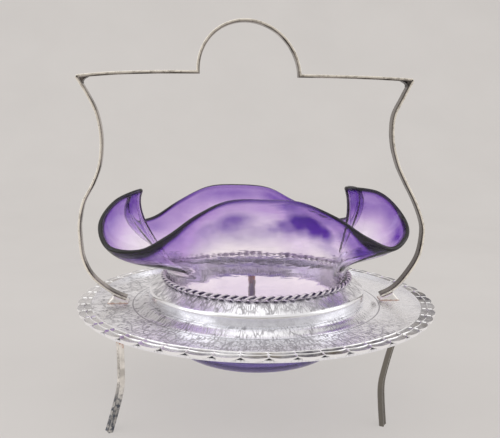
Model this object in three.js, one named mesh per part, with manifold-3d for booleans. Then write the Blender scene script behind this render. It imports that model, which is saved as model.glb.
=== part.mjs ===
// Sweetmeat dish: a footed tray of plated metal with a collar, a strap handle and three strip
// legs, and a blown glass bowl that stands in the collar and lifts out.
// Millimetres, +Z up. The origin lies on the table, under the middle of the tray.
// +X is towards the right end of the handle and -Y towards the front.

import * as THREE from 'three';
import Module from 'manifold-3d';
import { mergeVertices } from 'three/addons/utils/BufferGeometryUtils.js';

const wasm = await Module();
wasm.setup();

// Clearances
const SOLDER_GAP = 0.1;            // between a soldered piece and what it is soldered to
const BOWL_SEAT_GAP = 0.3;         // between the glass and the edge of the hole that it sits in
const COLLAR_CLEARANCE = 0.7;      // between the glass and the collar's mouth
const ARM_CLEARANCE = 5.85;        // from the bowl's lip out to the middle of the handle's arms

// Bowl below its waist
const BOWL_BASE_RADIUS = 46.7;
const BOWL_WAIST_RADIUS = 48.5;
const BOWL_HANG = 32.5;            // ledge down to the underside of the glass
const BASE_CORNER_RISE = 22.5;     // height of the rounded bottom corner
const BASE_CORNER_POWER = 4;
const BASE_THICKNESS = 4.5;
const WAIST_THICKNESS = 3;

// Bowl above its waist
const BOWL_STAND = 17;             // ledge up to the waist, where the wall starts to flare
const LIP_HALF_LENGTH = 80;
const LIP_HALF_WIDTH = 42;
const LIP_LOW_RISE = 15;           // waist up to the lowest places of the lip
const LIP_HIGH_RISE = 26.5;        // from there up to the highest places
const LIP_THICKNESS = 2.4;
const LIP_SLOPE_AT_LOW_PLACES = 15;    // degrees of the wall at the lip, from level
const LIP_SLOPE_AT_HIGH_PLACES = 112;  // past upright, so the wall leans in
const WAIST_PULL = 7;              // how far the wall keeps its direction above the waist
const LIP_PULL = 16;               // and how far below the lip
const BOWL_TURN = 7.5;             // degrees, seen from above, from the handle's line

// Places of the lip, from the right-hand fold round by the back: along the bowl, across it
// and up from the lowest places
const LIP_SHARES = [
  [0.63, 0.01, 0.97], [0.74, 0.17, 0.9], [0.82, 0.4, 0.6], [0.83, 0.74, 0.21],
  [0.73, 0.97, 0.05], [0.55, 1.03, 0.23], [0.36, 0.98, 0.52], [0.18, 0.92, 0.8],
  [-0.04, 0.9, 0.88], [-0.25, 0.92, 0.84], [-0.44, 0.98, 0.55], [-0.61, 1.02, 0.22],
  [-0.74, 0.98, 0.13], [-0.83, 0.77, 0.19], [-0.86, 0.44, 0.46], [-0.84, 0.19, 0.83],
  [-0.77, 0.01, 1], [-0.93, -0.2, 0.84], [-1.03, -0.42, 0.48], [-0.99, -0.76, 0.15],
  [-0.81, -0.96, 0.12], [-0.64, -1, 0.37], [-0.46, -0.95, 0.72], [-0.27, -0.89, 0.94],
  [-0.03, -0.88, 0.94], [0.17, -0.9, 0.88], [0.38, -0.96, 0.6], [0.56, -1.01, 0.25],
  [0.76, -0.96, 0.01], [0.91, -0.72, 0.21], [0.94, -0.38, 0.5], [0.82, -0.18, 0.89],
];

// Collar round the bowl
const COLLAR_THICKNESS = 1;
const SHOULDER_WIDTH = 9;
const SHOULDER_RISE = 5;
const RISER_HEIGHT = 6;
const COLLAR_WIRE_RADIUS = 1.3;
const COLLAR_WIRE_TWISTS = 96;     // quarter turns of the square wire round the mouth
const COLLAR_WIRE_STEPS = 3;       // steps in each quarter turn

// Tray
const PLATE_THICKNESS = 1.2;
const FLANGE_HEIGHT = 55.5;        // table to the top of the flange
const LEDGE_MARGIN = 1.4;          // ledge outside the collar's foot
const STEP_WIDTH = 6;
const LEDGE_RISE = 2.5;            // flange up to the ledge
const FLANGE_WIDTH = 28;

// Cast border on the rim of the tray
const BORDER_LAP = 5.5;            // over the plate
const BORDER_OVERHANG = 2;         // past the plate
const BORDER_EDGE = 0.7;           // thickness between the beads
const BEAD_RISE = 1.3;
const SCALLOP_COUNT = 48;
const SCALLOP_DEPTH = 1.7;
const BEAD_STEPS = 4;              // facets along one scallop
const BORDER_TURN = -1.75;         // degrees from the handle's line to the first scallop's edge

// Handle of flat strip
const STRIP_THICKNESS = 1.7;
const STRIP_WIDTH = 5.6;
const CORNER_RISE = 118.7;         // flange up to the handle's corners
const RAIL_CROWN = 2.2;            // rise of the rail from the corners to the arch
const ARCH_TILT = 1.4;             // left foot of the arch above its right foot
const ARCH_HALF_WIDTH = 26.3;
const ARCH_RISE = 26.9;
const HANDLE_FOOT_INSET = 3.5;     // step to the inner end of each arm
const HANDLE_LEAN = -6.2;          // sideways, at the height of the corners
const ARCH_OFFSET = 1.2;           // the hand-bent arch stands off the middle of the rail
const CORNER_SOLDER_LEG = 5;

// Places of each arm from its foot, across to about its widest reach and up to the corner
const RIGHT_ARM_PATH_SHARES = [
  [0, 0], [0.34, 0.034], [0.67, 0.103], [0.94, 0.189], [1.05, 0.293], [1.015, 0.361],
  [0.855, 0.448], [0.64, 0.534], [0.45, 0.62], [0.335, 0.727], [0.37, 0.835],
  [0.59, 0.921], [0.815, 1],
];
const LEFT_ARM_PATH_SHARES = [
  [0.03, 0], [0.39, 0.034], [0.78, 0.103], [0.97, 0.189], [1, 0.293], [0.975, 0.361],
  [0.85, 0.448], [0.595, 0.534], [0.42, 0.62], [0.345, 0.727], [0.4, 0.835],
  [0.575, 0.921], [0.793, 1],
];

// Cast pads under the arms
const PAD_SEAT = 1.65;             // thickness under the very end of an arm
const PAD_HEIGHT = 5;
const PAD_WIDTH = 8;
const PAD_TOE = 1.2;               // past the arm's end
const PAD_HEEL = 3.6;              // past the highest point of the pad

// Legs of flat strip
const LEG_THICKNESS = 2.4;
const LEG_WIDTH = 4.8;
const LEG_INSET = 16;              // step out to the bend at the top of a leg
const LEG_TAB = 7;                 // flat end soldered under the flange
const LEG_BEND = 3;
const LEG_SOLDER_LEG = 3.2;

// Places of a leg below its bend, as shares of its height: outward, and up from the table
const LEG_PATH_SHARES = [
  [-0.06, 0.83], [-0.094, 0.58], [-0.104, 0.41], [-0.081, 0.245], [-0.03, 0],
];

const LEGS = [
  { name: 'left', azimuth: -153, splay: 6.3 },
  { name: 'right', azimuth: -32.5, splay: -6.3 },
  { name: 'back', azimuth: 87, splay: 0 },
];

// Fineness of the facets
const RING_SIDES = 96;
const BOWL_COLUMNS_PER_PLACE = 3;
const BOWL_WALL_ROWS = 6;
const BOWL_CORNER_ROWS = 5;
const ARM_STEPS = 34;
const RAIL_STEPS = 6;
const ARCH_STEPS = 18;
const LEG_STEPS = 12;
const BEND_STEPS = 4;
const LIP_SAMPLES = 360;
const NORMAL_STEP = 0.001;         // share of the way over which a direction is measured
const CUT_OVERRUN = 20;

// Levels and radii that follow from the sizes above
const ledgeHeight = FLANGE_HEIGHT + LEDGE_RISE;
const bowlBottom = ledgeHeight - BOWL_HANG;
const cornerTop = bowlBottom + BASE_CORNER_RISE;
const waistHeight = ledgeHeight + BOWL_STAND;
const lipLowHeight = waistHeight + LIP_LOW_RISE;
const lipCurve = closedCurve(LIP_SHARES.map(([along, across, up]) => new THREE.Vector3(
  along * LIP_HALF_LENGTH, across * LIP_HALF_WIDTH, lipLowHeight + up * LIP_HIGH_RISE)));
const collarTop = ledgeHeight + RISER_HEIGHT + SHOULDER_RISE;
const collarMouth = bowlWallRadius(collarTop) + COLLAR_CLEARANCE;
const riserRadius = collarMouth + SHOULDER_WIDTH;
const plateHole = bowlWallRadius(ledgeHeight) + BOWL_SEAT_GAP;
const ledgeRadius = riserRadius + LEDGE_MARGIN;
const stepRadius = ledgeRadius + STEP_WIDTH;
const plateRadius = stepRadius + FLANGE_WIDTH;
const trayRadius = plateRadius + BORDER_OVERHANG;
const plateUnderside = FLANGE_HEIGHT - PLATE_THICKNESS;
const armReach = lipReach() + ARM_CLEARANCE;
const armFootRadius = stepRadius + HANDLE_FOOT_INSET;
const armFootHeight = FLANGE_HEIGHT + PAD_SEAT + STRIP_THICKNESS / 2;
const cornerHeight = FLANGE_HEIGHT + CORNER_RISE;
const railHeight = cornerHeight + RAIL_CROWN;
const legTopRadius = stepRadius + LEG_INSET;
const tabHeight = plateUnderside - LEG_THICKNESS / 2;

function radians(degrees) {
  return degrees * Math.PI / 180;
}

// Outer radius of the straight, slightly tapered wall between the base and the waist
function bowlWallRadius(height) {
  const climb = (height - cornerTop) / (waistHeight - cornerTop);
  return BOWL_BASE_RADIUS + (BOWL_WAIST_RADIUS - BOWL_BASE_RADIUS) * climb;
}

function closedCurve(places) {
  return new THREE.CatmullRomCurve3(places, true, 'catmullrom');
}

// The lip's middle at a share of the way round
function lipPlace(round) {
  return lipCurve.getPoint((round + 1) % 1);
}

function lipReach() {
  const samples = Array.from({ length: LIP_SAMPLES }, (_, i) => lipPlace(i / LIP_SAMPLES));
  return Math.max(...samples.map((place) => Math.hypot(place.x, place.y)));
}

// Radius and height of the outer wall above the waist, climb 0 at the waist and 1 at the lip
function flarePoint(middle, climb) {
  const taper = Math.atan2(BOWL_WAIST_RADIUS - BOWL_BASE_RADIUS, waistHeight - cornerTop);
  const rise = Math.max((middle.z - lipLowHeight) / LIP_HIGH_RISE, 0);
  const slope = radians(LIP_SLOPE_AT_LOW_PLACES
    + (LIP_SLOPE_AT_HIGH_PLACES - LIP_SLOPE_AT_LOW_PLACES) * Math.sqrt(rise));
  const waist = new THREE.Vector2(BOWL_WAIST_RADIUS, waistHeight);
  const lip = new THREE.Vector2(Math.hypot(middle.x, middle.y), middle.z)
    .add(new THREE.Vector2(Math.sin(slope), -Math.cos(slope)).multiplyScalar(LIP_THICKNESS / 2));
  const above = new THREE.Vector2(Math.sin(taper), Math.cos(taper)).multiplyScalar(WAIST_PULL);
  const below = new THREE.Vector2(Math.cos(slope), Math.sin(slope)).multiplyScalar(LIP_PULL);
  const meridian = new THREE.CubicBezierCurve(waist, above.add(waist), lip.clone().sub(below), lip);
  return meridian.getPoint(climb);
}

// Point of the outer surface at a share of the way round, and on its way from the middle of
// the base, 0, over the rounded corner, 1, and the waist, 2, to the lip, 3
function outerPoint(round, way) {
  const middle = lipPlace(round);
  let place;
  if (way < 1) {
    const turn = way * Math.PI / 2;
    const share = 2 / BASE_CORNER_POWER;
    place = new THREE.Vector2(
      BOWL_BASE_RADIUS * Math.sin(turn) ** share,
      cornerTop - BASE_CORNER_RISE * Math.cos(turn) ** share);
  } else if (way < 2) {
    const height = cornerTop + (waistHeight - cornerTop) * (way - 1);
    place = new THREE.Vector2(bowlWallRadius(height), height);
  } else {
    place = flarePoint(middle, way - 2);
  }
  const angle = Math.atan2(middle.y, middle.x);
  return new THREE.Vector3(place.x * Math.cos(angle), place.x * Math.sin(angle), place.y);
}

// Outward direction of the outer surface, measured over a small step each way
function outerNormal(round, way) {
  const along = outerPoint(round + NORMAL_STEP, way).sub(outerPoint(round - NORMAL_STEP, way));
  const higher = outerPoint(round, Math.min(way + NORMAL_STEP, 3));
  const up = higher.sub(outerPoint(round, way - NORMAL_STEP));
  return along.cross(up).normalize();
}

function glassThickness(way) {
  if (way < 1) {
    return BASE_THICKNESS + (WAIST_THICKNESS - BASE_THICKNESS) * way;
  }
  return WAIST_THICKNESS + (LIP_THICKNESS - WAIST_THICKNESS) * (way - 1) / 2;
}

// A closed surface from rings of points. A ring of one point closes an end, and joined ends
// make a loop. Seen from outside, each ring runs anticlockwise below the next.
function surfaceFromRings(rings, joinEnds) {
  const positions = [];
  const starts = [];
  for (const ring of rings) {
    starts.push(positions.length / 3);
    for (const point of ring) {
      positions.push(point.x, point.y, point.z);
    }
  }
  const faces = [];
  const bands = joinEnds ? rings.length : rings.length - 1;
  for (let i = 0; i < bands; i++) {
    const next = (i + 1) % rings.length;
    const count = Math.max(rings[i].length, rings[next].length);
    for (let j = 0; j < count; j++) {
      const k = (j + 1) % count;
      const lower = rings[i].length === 1 ? [starts[i], starts[i]] : [starts[i] + j, starts[i] + k];
      const upper = rings[next].length === 1
        ? [starts[next], starts[next]] : [starts[next] + j, starts[next] + k];
      if (lower[0] !== lower[1]) {
        faces.push(lower[0], lower[1], upper[1]);
      }
      if (upper[0] !== upper[1]) {
        faces.push(lower[0], upper[1], upper[0]);
      }
    }
  }
  const geometry = new THREE.BufferGeometry();
  geometry.setAttribute('position', new THREE.Float32BufferAttribute(positions, 3));
  geometry.setIndex(faces);
  return geometry;
}

function toManifold(geometry) {
  const bare = geometry.clone();
  bare.deleteAttribute('normal');
  bare.deleteAttribute('uv');
  const merged = mergeVertices(bare);
  return new wasm.Manifold(new wasm.Mesh({
    numProp: 3,
    vertProperties: new Float32Array(merged.attributes.position.array),
    triVerts: new Uint32Array(merged.index.array),
  }));
}

function toGeometry(solid) {
  const mesh = solid.getMesh();
  const geometry = new THREE.BufferGeometry();
  geometry.setAttribute('position', new THREE.BufferAttribute(mesh.vertProperties, 3));
  geometry.setIndex(new THREE.BufferAttribute(mesh.triVerts, 1));
  return geometry;
}

function cut(geometry, ...cutters) {
  let solid = toManifold(geometry);
  for (const cutter of cutters) {
    solid = solid.subtract(toManifold(cutter));
  }
  return toGeometry(solid);
}

// A ring turned from a closed section of [radius, height] points
function turnedRing(section) {
  const points = section.map(([radius, height]) => new THREE.Vector2(radius, height));
  points.push(points[0].clone());
  const geometry = new THREE.LatheGeometry(points, RING_SIDES);
  return geometry.rotateX(Math.PI / 2);
}

// The path moved sideways by a distance, to its left as it runs, with mitred corners
function offsetPath(path, distance) {
  return path.map((point, i) => {
    const before = path[Math.max(i - 1, 0)];
    const after = path[Math.min(i + 1, path.length - 1)];
    const arriving = i > 0 ? point.clone().sub(before).normalize() : null;
    const leaving = i < path.length - 1 ? after.clone().sub(point).normalize() : null;
    const first = arriving ?? leaving;
    const second = leaving ?? arriving;
    const normal = new THREE.Vector2(-first.y - second.y, first.x + second.x).normalize();
    const spread = normal.dot(new THREE.Vector2(-first.y, first.x));
    return point.clone().add(normal.multiplyScalar(distance / spread));
  });
}

// An outline in the X-Z plane, as thick along Y as the width and centred there
function plateInPlane(outline, width) {
  const geometry = new THREE.ExtrudeGeometry(new THREE.Shape(outline), {
    depth: width,
    bevelEnabled: false,
    steps: 1,
  });
  geometry.translate(0, 0, -width / 2);
  return geometry.rotateX(Math.PI / 2);
}

function stripAlong(path, thickness, width) {
  const outline = [
    ...offsetPath(path, -thickness / 2),
    ...offsetPath(path, thickness / 2).reverse(),
  ];
  return plateInPlane(outline, width);
}

function bowl() {
  const count = LIP_SHARES.length * BOWL_COLUMNS_PER_PLACE;
  const columns = Array.from({ length: count }, (_, i) => i / count);
  const ways = [];
  for (let i = 1; i < BOWL_CORNER_ROWS; i++) {
    ways.push(i / BOWL_CORNER_ROWS);
  }
  ways.push(1);
  for (let i = 0; i <= BOWL_WALL_ROWS; i++) {
    ways.push(2 + i / BOWL_WALL_ROWS);
  }
  const outer = ways.map((way) => columns.map((round) => outerPoint(round, way)));
  const inner = ways.map((way) => columns.map((round) => outerPoint(round, way)
    .addScaledVector(outerNormal(round, way), -glassThickness(way))));
  const lip = columns.map((round, i) => {
    const edge = outer.at(-1)[i].clone().add(inner.at(-1)[i]).multiplyScalar(0.5);
    const up = outerPoint(round, 3).sub(outerPoint(round, 3 - NORMAL_STEP)).normalize();
    return edge.addScaledVector(up, LIP_THICKNESS / 2);
  });
  const underside = new THREE.Vector3(0, 0, bowlBottom);
  const floor = new THREE.Vector3(0, 0, bowlBottom + BASE_THICKNESS);
  return surfaceFromRings([[underside], ...outer, lip, ...inner.reverse(), [floor]], false);
}

function trayPlate() {
  return turnedRing([
    [plateHole, ledgeHeight - PLATE_THICKNESS],
    [ledgeRadius, ledgeHeight - PLATE_THICKNESS],
    [stepRadius, plateUnderside],
    [plateRadius, plateUnderside],
    [plateRadius, FLANGE_HEIGHT],
    [stepRadius, FLANGE_HEIGHT],
    [ledgeRadius, ledgeHeight],
    [plateHole, ledgeHeight],
  ]);
}

// Half-round rise of a bead at a place across it, -1 to 1
function beadRise(across) {
  return BEAD_RISE * Math.sqrt(Math.max(1 - across ** 2, 0));
}

// The border lies flat on the flange: two rows of beads, and a scalloped outer edge
function trayBorder() {
  const inside = plateRadius - BORDER_LAP;
  const rowWidth = (BORDER_LAP + BORDER_OVERHANG) / 2;
  const top = FLANGE_HEIGHT + BORDER_EDGE;
  const rings = [[], [], [], [], [], [], []];
  const count = SCALLOP_COUNT * BEAD_STEPS;
  for (let i = 0; i < count; i++) {
    const across = (i % BEAD_STEPS) / BEAD_STEPS * 2 - 1;
    const edge = trayRadius - SCALLOP_DEPTH * across ** 2;
    const rise = beadRise(across);
    const section = [
      [inside, FLANGE_HEIGHT],
      [edge, FLANGE_HEIGHT],
      [edge, top - BORDER_EDGE / 2],
      [edge - rowWidth / 2, top + rise],
      [inside + rowWidth, top],
      [inside + rowWidth / 2, top + rise],
      [inside, top],
    ];
    const angle = i / count * 2 * Math.PI + THREE.MathUtils.degToRad(BORDER_TURN);
    section.forEach(([radius, height], j) => {
      rings[j].push(new THREE.Vector3(radius * Math.cos(angle), radius * Math.sin(angle), height));
    });
  }
  return surfaceFromRings(rings, true);
}

function bowlCollar() {
  const riserTop = ledgeHeight + RISER_HEIGHT;
  const riserInside = riserRadius - COLLAR_THICKNESS;
  return turnedRing([
    [riserInside, ledgeHeight],
    [riserRadius, ledgeHeight],
    [riserRadius, riserTop],
    [collarMouth + COLLAR_THICKNESS, collarTop],
    [collarMouth, collarTop],
    [collarMouth, collarTop - COLLAR_THICKNESS],
    [riserInside, riserTop - COLLAR_THICKNESS],
  ]);
}

// A square wire, twisted as it runs round the mouth of the collar
function collarWire() {
  const steps = COLLAR_WIRE_TWISTS * COLLAR_WIRE_STEPS;
  const radius = collarMouth + COLLAR_WIRE_RADIUS;
  const height = collarTop + SOLDER_GAP + COLLAR_WIRE_RADIUS;
  const rings = [[], [], [], []];
  for (let i = 0; i < steps; i++) {
    const angle = i / steps * 2 * Math.PI;
    const twist = i / COLLAR_WIRE_STEPS * Math.PI / 2;
    rings.forEach((ring, corner) => {
      const turn = twist + corner * Math.PI / 2;
      const out = radius + COLLAR_WIRE_RADIUS * Math.cos(turn);
      ring.push(new THREE.Vector3(
        out * Math.cos(angle), out * Math.sin(angle), height + COLLAR_WIRE_RADIUS * Math.sin(turn)));
    });
  }
  return surfaceFromRings(rings, true);
}

// Middle line of an arm, drawn towards +X, from its foot on the pad up to the corner and past it
function armPath(shares) {
  const places = shares.map(([across, up]) => new THREE.Vector2(
    armFootRadius + across * (armReach - armFootRadius),
    armFootHeight + up * (cornerHeight - armFootHeight)));
  const path = new THREE.SplineCurve(places).getPoints(ARM_STEPS);
  const end = path.at(-1).clone().sub(path.at(-2)).normalize();
  path.push(path.at(-1).clone().addScaledVector(end, 2 * STRIP_THICKNESS));
  return path;
}

function armCorner(shares) {
  return armPath(shares).at(-2);
}

// The arm is cut level with the top of the rail, which leaves a pointed corner
function arm(shares, growth) {
  const strip = stripAlong(armPath(shares), STRIP_THICKNESS + 2 * growth, STRIP_WIDTH + 2 * growth);
  const above = new THREE.BoxGeometry(2 * trayRadius, 2 * trayRadius, CUT_OVERRUN);
  above.translate(armReach, 0, cornerHeight + STRIP_THICKNESS / 2 + CUT_OVERRUN / 2);
  return cut(strip, above);
}

// Middle line of one side of the rail, level at the arch and falling to the corner
function railBar(foot, corner) {
  const shoulder = new THREE.Vector2((corner.x * 2 + foot.x) / 3, foot.y);
  return new THREE.QuadraticBezierCurve(foot, shoulder, corner).getPoints(RAIL_STEPS);
}

// Middle line of the rail from the left corner over the arch to the right corner
function railPath() {
  const arch = new THREE.EllipseCurve(
    ARCH_OFFSET, railHeight, ARCH_HALF_WIDTH, ARCH_RISE, Math.PI, 0, true).getPoints(ARCH_STEPS);
  for (const point of arch) {
    point.y -= ARCH_TILT / 2 * (point.x - ARCH_OFFSET) / ARCH_HALF_WIDTH;
  }
  const right = armCorner(RIGHT_ARM_PATH_SHARES);
  const left = armCorner(LEFT_ARM_PATH_SHARES);
  left.x = -left.x;
  return [...railBar(arch[0], left).reverse(), ...arch.slice(1, -1), ...railBar(arch.at(-1), right)];
}

function rail(growth) {
  return stripAlong(railPath(), STRIP_THICKNESS + 2 * growth, STRIP_WIDTH + 2 * growth);
}

function mirrored(geometry) {
  const copy = geometry.index ? geometry.clone() : mergeVertices(geometry);
  copy.scale(-1, 1, 1);
  const index = copy.index.array;
  for (let i = 0; i < index.length; i += 3) {
    [index[i], index[i + 1]] = [index[i + 1], index[i]];
  }
  return copy;
}

function handleRail() {
  const right = arm(RIGHT_ARM_PATH_SHARES, SOLDER_GAP);
  const left = mirrored(arm(LEFT_ARM_PATH_SHARES, SOLDER_GAP));
  return cut(rail(0), right, left);
}

// The solder fillet fills the corner of an arm and the rail that is handed in, and is cut to fit
function cornerSolder(shares, railGrown) {
  const corner = armCorner(shares);
  const below = armPath(shares).findLast((point) => point.y < corner.y - CORNER_SOLDER_LEG);
  const down = below.sub(corner).normalize();
  const inward = new THREE.Vector2(-1, 0);
  const reach = CORNER_SOLDER_LEG + STRIP_THICKNESS;
  const shape = new THREE.Shape();
  shape.moveTo(corner.x, corner.y);
  shape.lineTo(corner.x + inward.x * reach, corner.y + inward.y * reach);
  const hollow = corner.clone().addScaledVector(inward, reach / 3).addScaledVector(down, reach / 3);
  shape.quadraticCurveTo(
    hollow.x, hollow.y, corner.x + down.x * reach, corner.y + down.y * reach);
  const fillet = plateInPlane(shape.getPoints(BEND_STEPS), STRIP_WIDTH);
  return cut(fillet, arm(shares, SOLDER_GAP), railGrown);
}

// The pad is a low mound on the flange, shaped to the underside of the arm above it
function handlePad(shares) {
  const under = offsetPath(armPath(shares), -STRIP_THICKNESS / 2 - SOLDER_GAP)
    .filter((point) => point.y < FLANGE_HEIGHT + PAD_HEIGHT);
  const toe = under[0];
  const heel = under.at(-1);
  const outline = [
    new THREE.Vector2(toe.x - PAD_TOE, FLANGE_HEIGHT),
    new THREE.Vector2(heel.x + PAD_HEEL, FLANGE_HEIGHT),
    new THREE.Vector2(heel.x + PAD_HEEL / 2, (heel.y + FLANGE_HEIGHT) / 2),
    ...under.reverse(),
    new THREE.Vector2(toe.x - PAD_TOE, (toe.y + FLANGE_HEIGHT) / 2),
  ];
  return plateInPlane(outline, PAD_WIDTH);
}

// Middle line of a leg, from its tab under the flange to below the table, drawn towards +X
function legPath(splay) {
  const places = [new THREE.Vector2(legTopRadius - LEG_BEND / 2, tabHeight - LEG_BEND)];
  for (const [outward, up] of LEG_PATH_SHARES) {
    const lean = (1 - up) * tabHeight * Math.tan(radians(splay));
    places.push(new THREE.Vector2(legTopRadius + outward * tabHeight + lean, up * tabHeight));
  }
  const drop = new THREE.SplineCurve(places).getPoints(LEG_STEPS);
  const end = drop.at(-1).clone().sub(drop.at(-2)).normalize();
  drop.push(drop.at(-1).clone().addScaledVector(end, LEG_THICKNESS));
  const tab = new THREE.Vector2(legTopRadius + LEG_TAB, tabHeight);
  const bendStart = new THREE.Vector2(legTopRadius + LEG_BEND, tabHeight);
  const bendCorner = new THREE.Vector2(legTopRadius, tabHeight);
  const bend = new THREE.QuadraticBezierCurve(bendStart, bendCorner, places[0])
    .getPoints(BEND_STEPS);
  return [tab, ...bend, ...drop.slice(1)];
}

function legStrip(splay, growth) {
  return stripAlong(legPath(splay), LEG_THICKNESS + 2 * growth, LEG_WIDTH + 2 * growth);
}

function leg(splay) {
  const table = new THREE.BoxGeometry(2 * trayRadius, 2 * trayRadius, CUT_OVERRUN);
  table.translate(legTopRadius, 0, -CUT_OVERRUN / 2);
  return cut(legStrip(splay, 0), table);
}

// The solder behind a leg's bend, against the underside of the flange
function legSolder(splay) {
  const bend = new THREE.Vector2(legTopRadius, plateUnderside);
  const reach = LEG_SOLDER_LEG + LEG_THICKNESS;
  const outline = [
    bend.clone().add(new THREE.Vector2(LEG_BEND / 2, 0)),
    bend.clone().add(new THREE.Vector2(-reach, 0)),
    bend.clone().add(new THREE.Vector2(-reach / 2, -reach / 2)),
    bend.clone().add(new THREE.Vector2(-LEG_BEND / 2, -reach)),
  ];
  return cut(plateInPlane(outline, LEG_WIDTH), legStrip(splay, SOLDER_GAP));
}

function metal(color, roughness) {
  return new THREE.MeshStandardMaterial({ color, roughness, metalness: 1 });
}

const SILVER = metal(0xc9c7c4, 0.24);
const SILVER_WORN = metal(0xa09b94, 0.36);
const SOLDER = metal(0xb08a78, 0.45);
const GLASS = new THREE.MeshStandardMaterial({
  color: 0x8a5fc4,
  roughness: 0.05,
  metalness: 0,
  transparent: true,
  opacity: 0.45,
});

// The handle's pieces drawn upright, leant sideways about the level of the flange
function leant(geometry) {
  const shear = HANDLE_LEAN / CORNER_RISE;
  geometry.translate(0, 0, -FLANGE_HEIGHT);
  geometry.applyMatrix4(new THREE.Matrix4().makeShear(0, 0, 0, 0, shear, 0));
  return geometry.translate(0, 0, FLANGE_HEIGHT);
}

function named(name, geometry, material) {
  const mesh = new THREE.Mesh(geometry, material);
  mesh.name = name;
  return mesh;
}

function handleGroup() {
  const group = new THREE.Group();
  group.add(named('handle_rail', leant(handleRail()), SILVER_WORN));
  const plain = (geometry) => geometry;
  const grown = rail(SOLDER_GAP);
  for (const [side, shares, turned, grownRail] of [
    ['right', RIGHT_ARM_PATH_SHARES, plain, grown],
    ['left', LEFT_ARM_PATH_SHARES, mirrored, mirrored(grown)],
  ]) {
    const solder = cornerSolder(shares, grownRail);
    group.add(named(`handle_arm_${side}`, leant(turned(arm(shares, 0))), SILVER_WORN));
    group.add(named(`corner_solder_${side}`, leant(turned(solder)), SOLDER));
    group.add(named(`handle_pad_${side}`, leant(turned(handlePad(shares))), SOLDER));
  }
  return group;
}

function legGroup({ name, azimuth, splay }) {
  const group = new THREE.Group();
  group.rotation.z = radians(azimuth);
  group.add(named(`leg_${name}`, leg(splay), SILVER_WORN));
  group.add(named(`leg_solder_${name}`, legSolder(splay), SOLDER));
  return group;
}

function bowlGroup() {
  const group = new THREE.Group();
  group.rotation.z = radians(BOWL_TURN);
  group.add(named('glass_bowl', bowl(), GLASS));
  return group;
}

const dish = new THREE.Group();
dish.add(named('tray_plate', trayPlate(), SILVER));
dish.add(named('tray_border', trayBorder(), SILVER));
dish.add(named('bowl_collar', bowlCollar(), SILVER));
dish.add(named('collar_wire', collarWire(), SILVER_WORN));
dish.add(handleGroup());
LEGS.forEach((entry) => dish.add(legGroup(entry)));
dish.add(bowlGroup());

export default dish;
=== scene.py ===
# Sweetmeat dish: a silver-plated stand with a beaded tray, an engraved collar, a strap handle and
# three strip legs, and a crimped amethyst glass bowl that stands in the collar.
# Sizes are in millimetres until a mesh is made. +Z is up and -Y is the front.

import math

import bpy
import numpy as np
from mathutils import Matrix, Vector


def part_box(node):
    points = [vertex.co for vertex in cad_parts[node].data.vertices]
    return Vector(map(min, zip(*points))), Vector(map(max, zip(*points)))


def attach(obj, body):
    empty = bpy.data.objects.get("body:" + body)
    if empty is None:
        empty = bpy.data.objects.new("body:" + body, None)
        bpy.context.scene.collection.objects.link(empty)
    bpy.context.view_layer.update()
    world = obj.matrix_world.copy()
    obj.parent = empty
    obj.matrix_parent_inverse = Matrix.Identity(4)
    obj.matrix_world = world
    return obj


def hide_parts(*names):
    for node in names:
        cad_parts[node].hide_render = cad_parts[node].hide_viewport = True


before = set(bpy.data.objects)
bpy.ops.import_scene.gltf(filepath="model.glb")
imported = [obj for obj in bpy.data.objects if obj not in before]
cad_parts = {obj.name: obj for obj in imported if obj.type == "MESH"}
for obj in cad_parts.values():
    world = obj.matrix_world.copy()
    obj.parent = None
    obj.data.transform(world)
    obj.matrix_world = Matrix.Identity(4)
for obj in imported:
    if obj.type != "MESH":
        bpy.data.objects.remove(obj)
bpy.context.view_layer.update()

bl_info = {
    "name": "Sweetmeat Dish",
    "version": (1, 0, 0),
    "blender": (4, 5, 0),
    "location": "View3D > Sidebar > Sweetmeat dish",
    "description": "Builds the dressed pieces of a plated sweetmeat stand with a glass bowl",
    "category": "Add Mesh",
}

MM = 0.001

# Places of the lip, from the right-hand fold round by the back: along the bowl, across it
# and up from the lowest places
LIP_SHARES = [
    [0.63, 0.01, 0.97], [0.74, 0.17, 0.9], [0.82, 0.4, 0.6], [0.83, 0.74, 0.21],
    [0.73, 0.97, 0.05], [0.55, 1.03, 0.23], [0.36, 0.98, 0.52], [0.18, 0.92, 0.8],
    [-0.04, 0.9, 0.88], [-0.25, 0.92, 0.84], [-0.44, 0.98, 0.55], [-0.61, 1.02, 0.22],
    [-0.74, 0.98, 0.13], [-0.83, 0.77, 0.19], [-0.86, 0.44, 0.46], [-0.84, 0.19, 0.83],
    [-0.77, 0.01, 1], [-0.93, -0.2, 0.84], [-1.03, -0.42, 0.48], [-0.99, -0.76, 0.15],
    [-0.81, -0.96, 0.12], [-0.64, -1, 0.37], [-0.46, -0.95, 0.72], [-0.27, -0.89, 0.94],
    [-0.03, -0.88, 0.94], [0.17, -0.9, 0.88], [0.38, -0.96, 0.6], [0.56, -1.01, 0.25],
    [0.76, -0.96, 0.01], [0.91, -0.72, 0.21], [0.94, -0.38, 0.5], [0.82, -0.18, 0.89],
]

# Places of each arm from its foot, across to about its widest reach and up to the corner
RIGHT_ARM_PATH_SHARES = [
    [0, 0], [0.34, 0.034], [0.67, 0.103], [0.94, 0.189], [1.05, 0.293], [1.015, 0.361],
    [0.855, 0.448], [0.64, 0.534], [0.45, 0.62], [0.335, 0.727], [0.37, 0.835],
    [0.59, 0.921], [0.815, 1],
]
LEFT_ARM_PATH_SHARES = [
    [0.03, 0], [0.39, 0.034], [0.78, 0.103], [0.97, 0.189], [1, 0.293], [0.975, 0.361],
    [0.85, 0.448], [0.595, 0.534], [0.42, 0.62], [0.345, 0.727], [0.4, 0.835],
    [0.575, 0.921], [0.793, 1],
]

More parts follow.
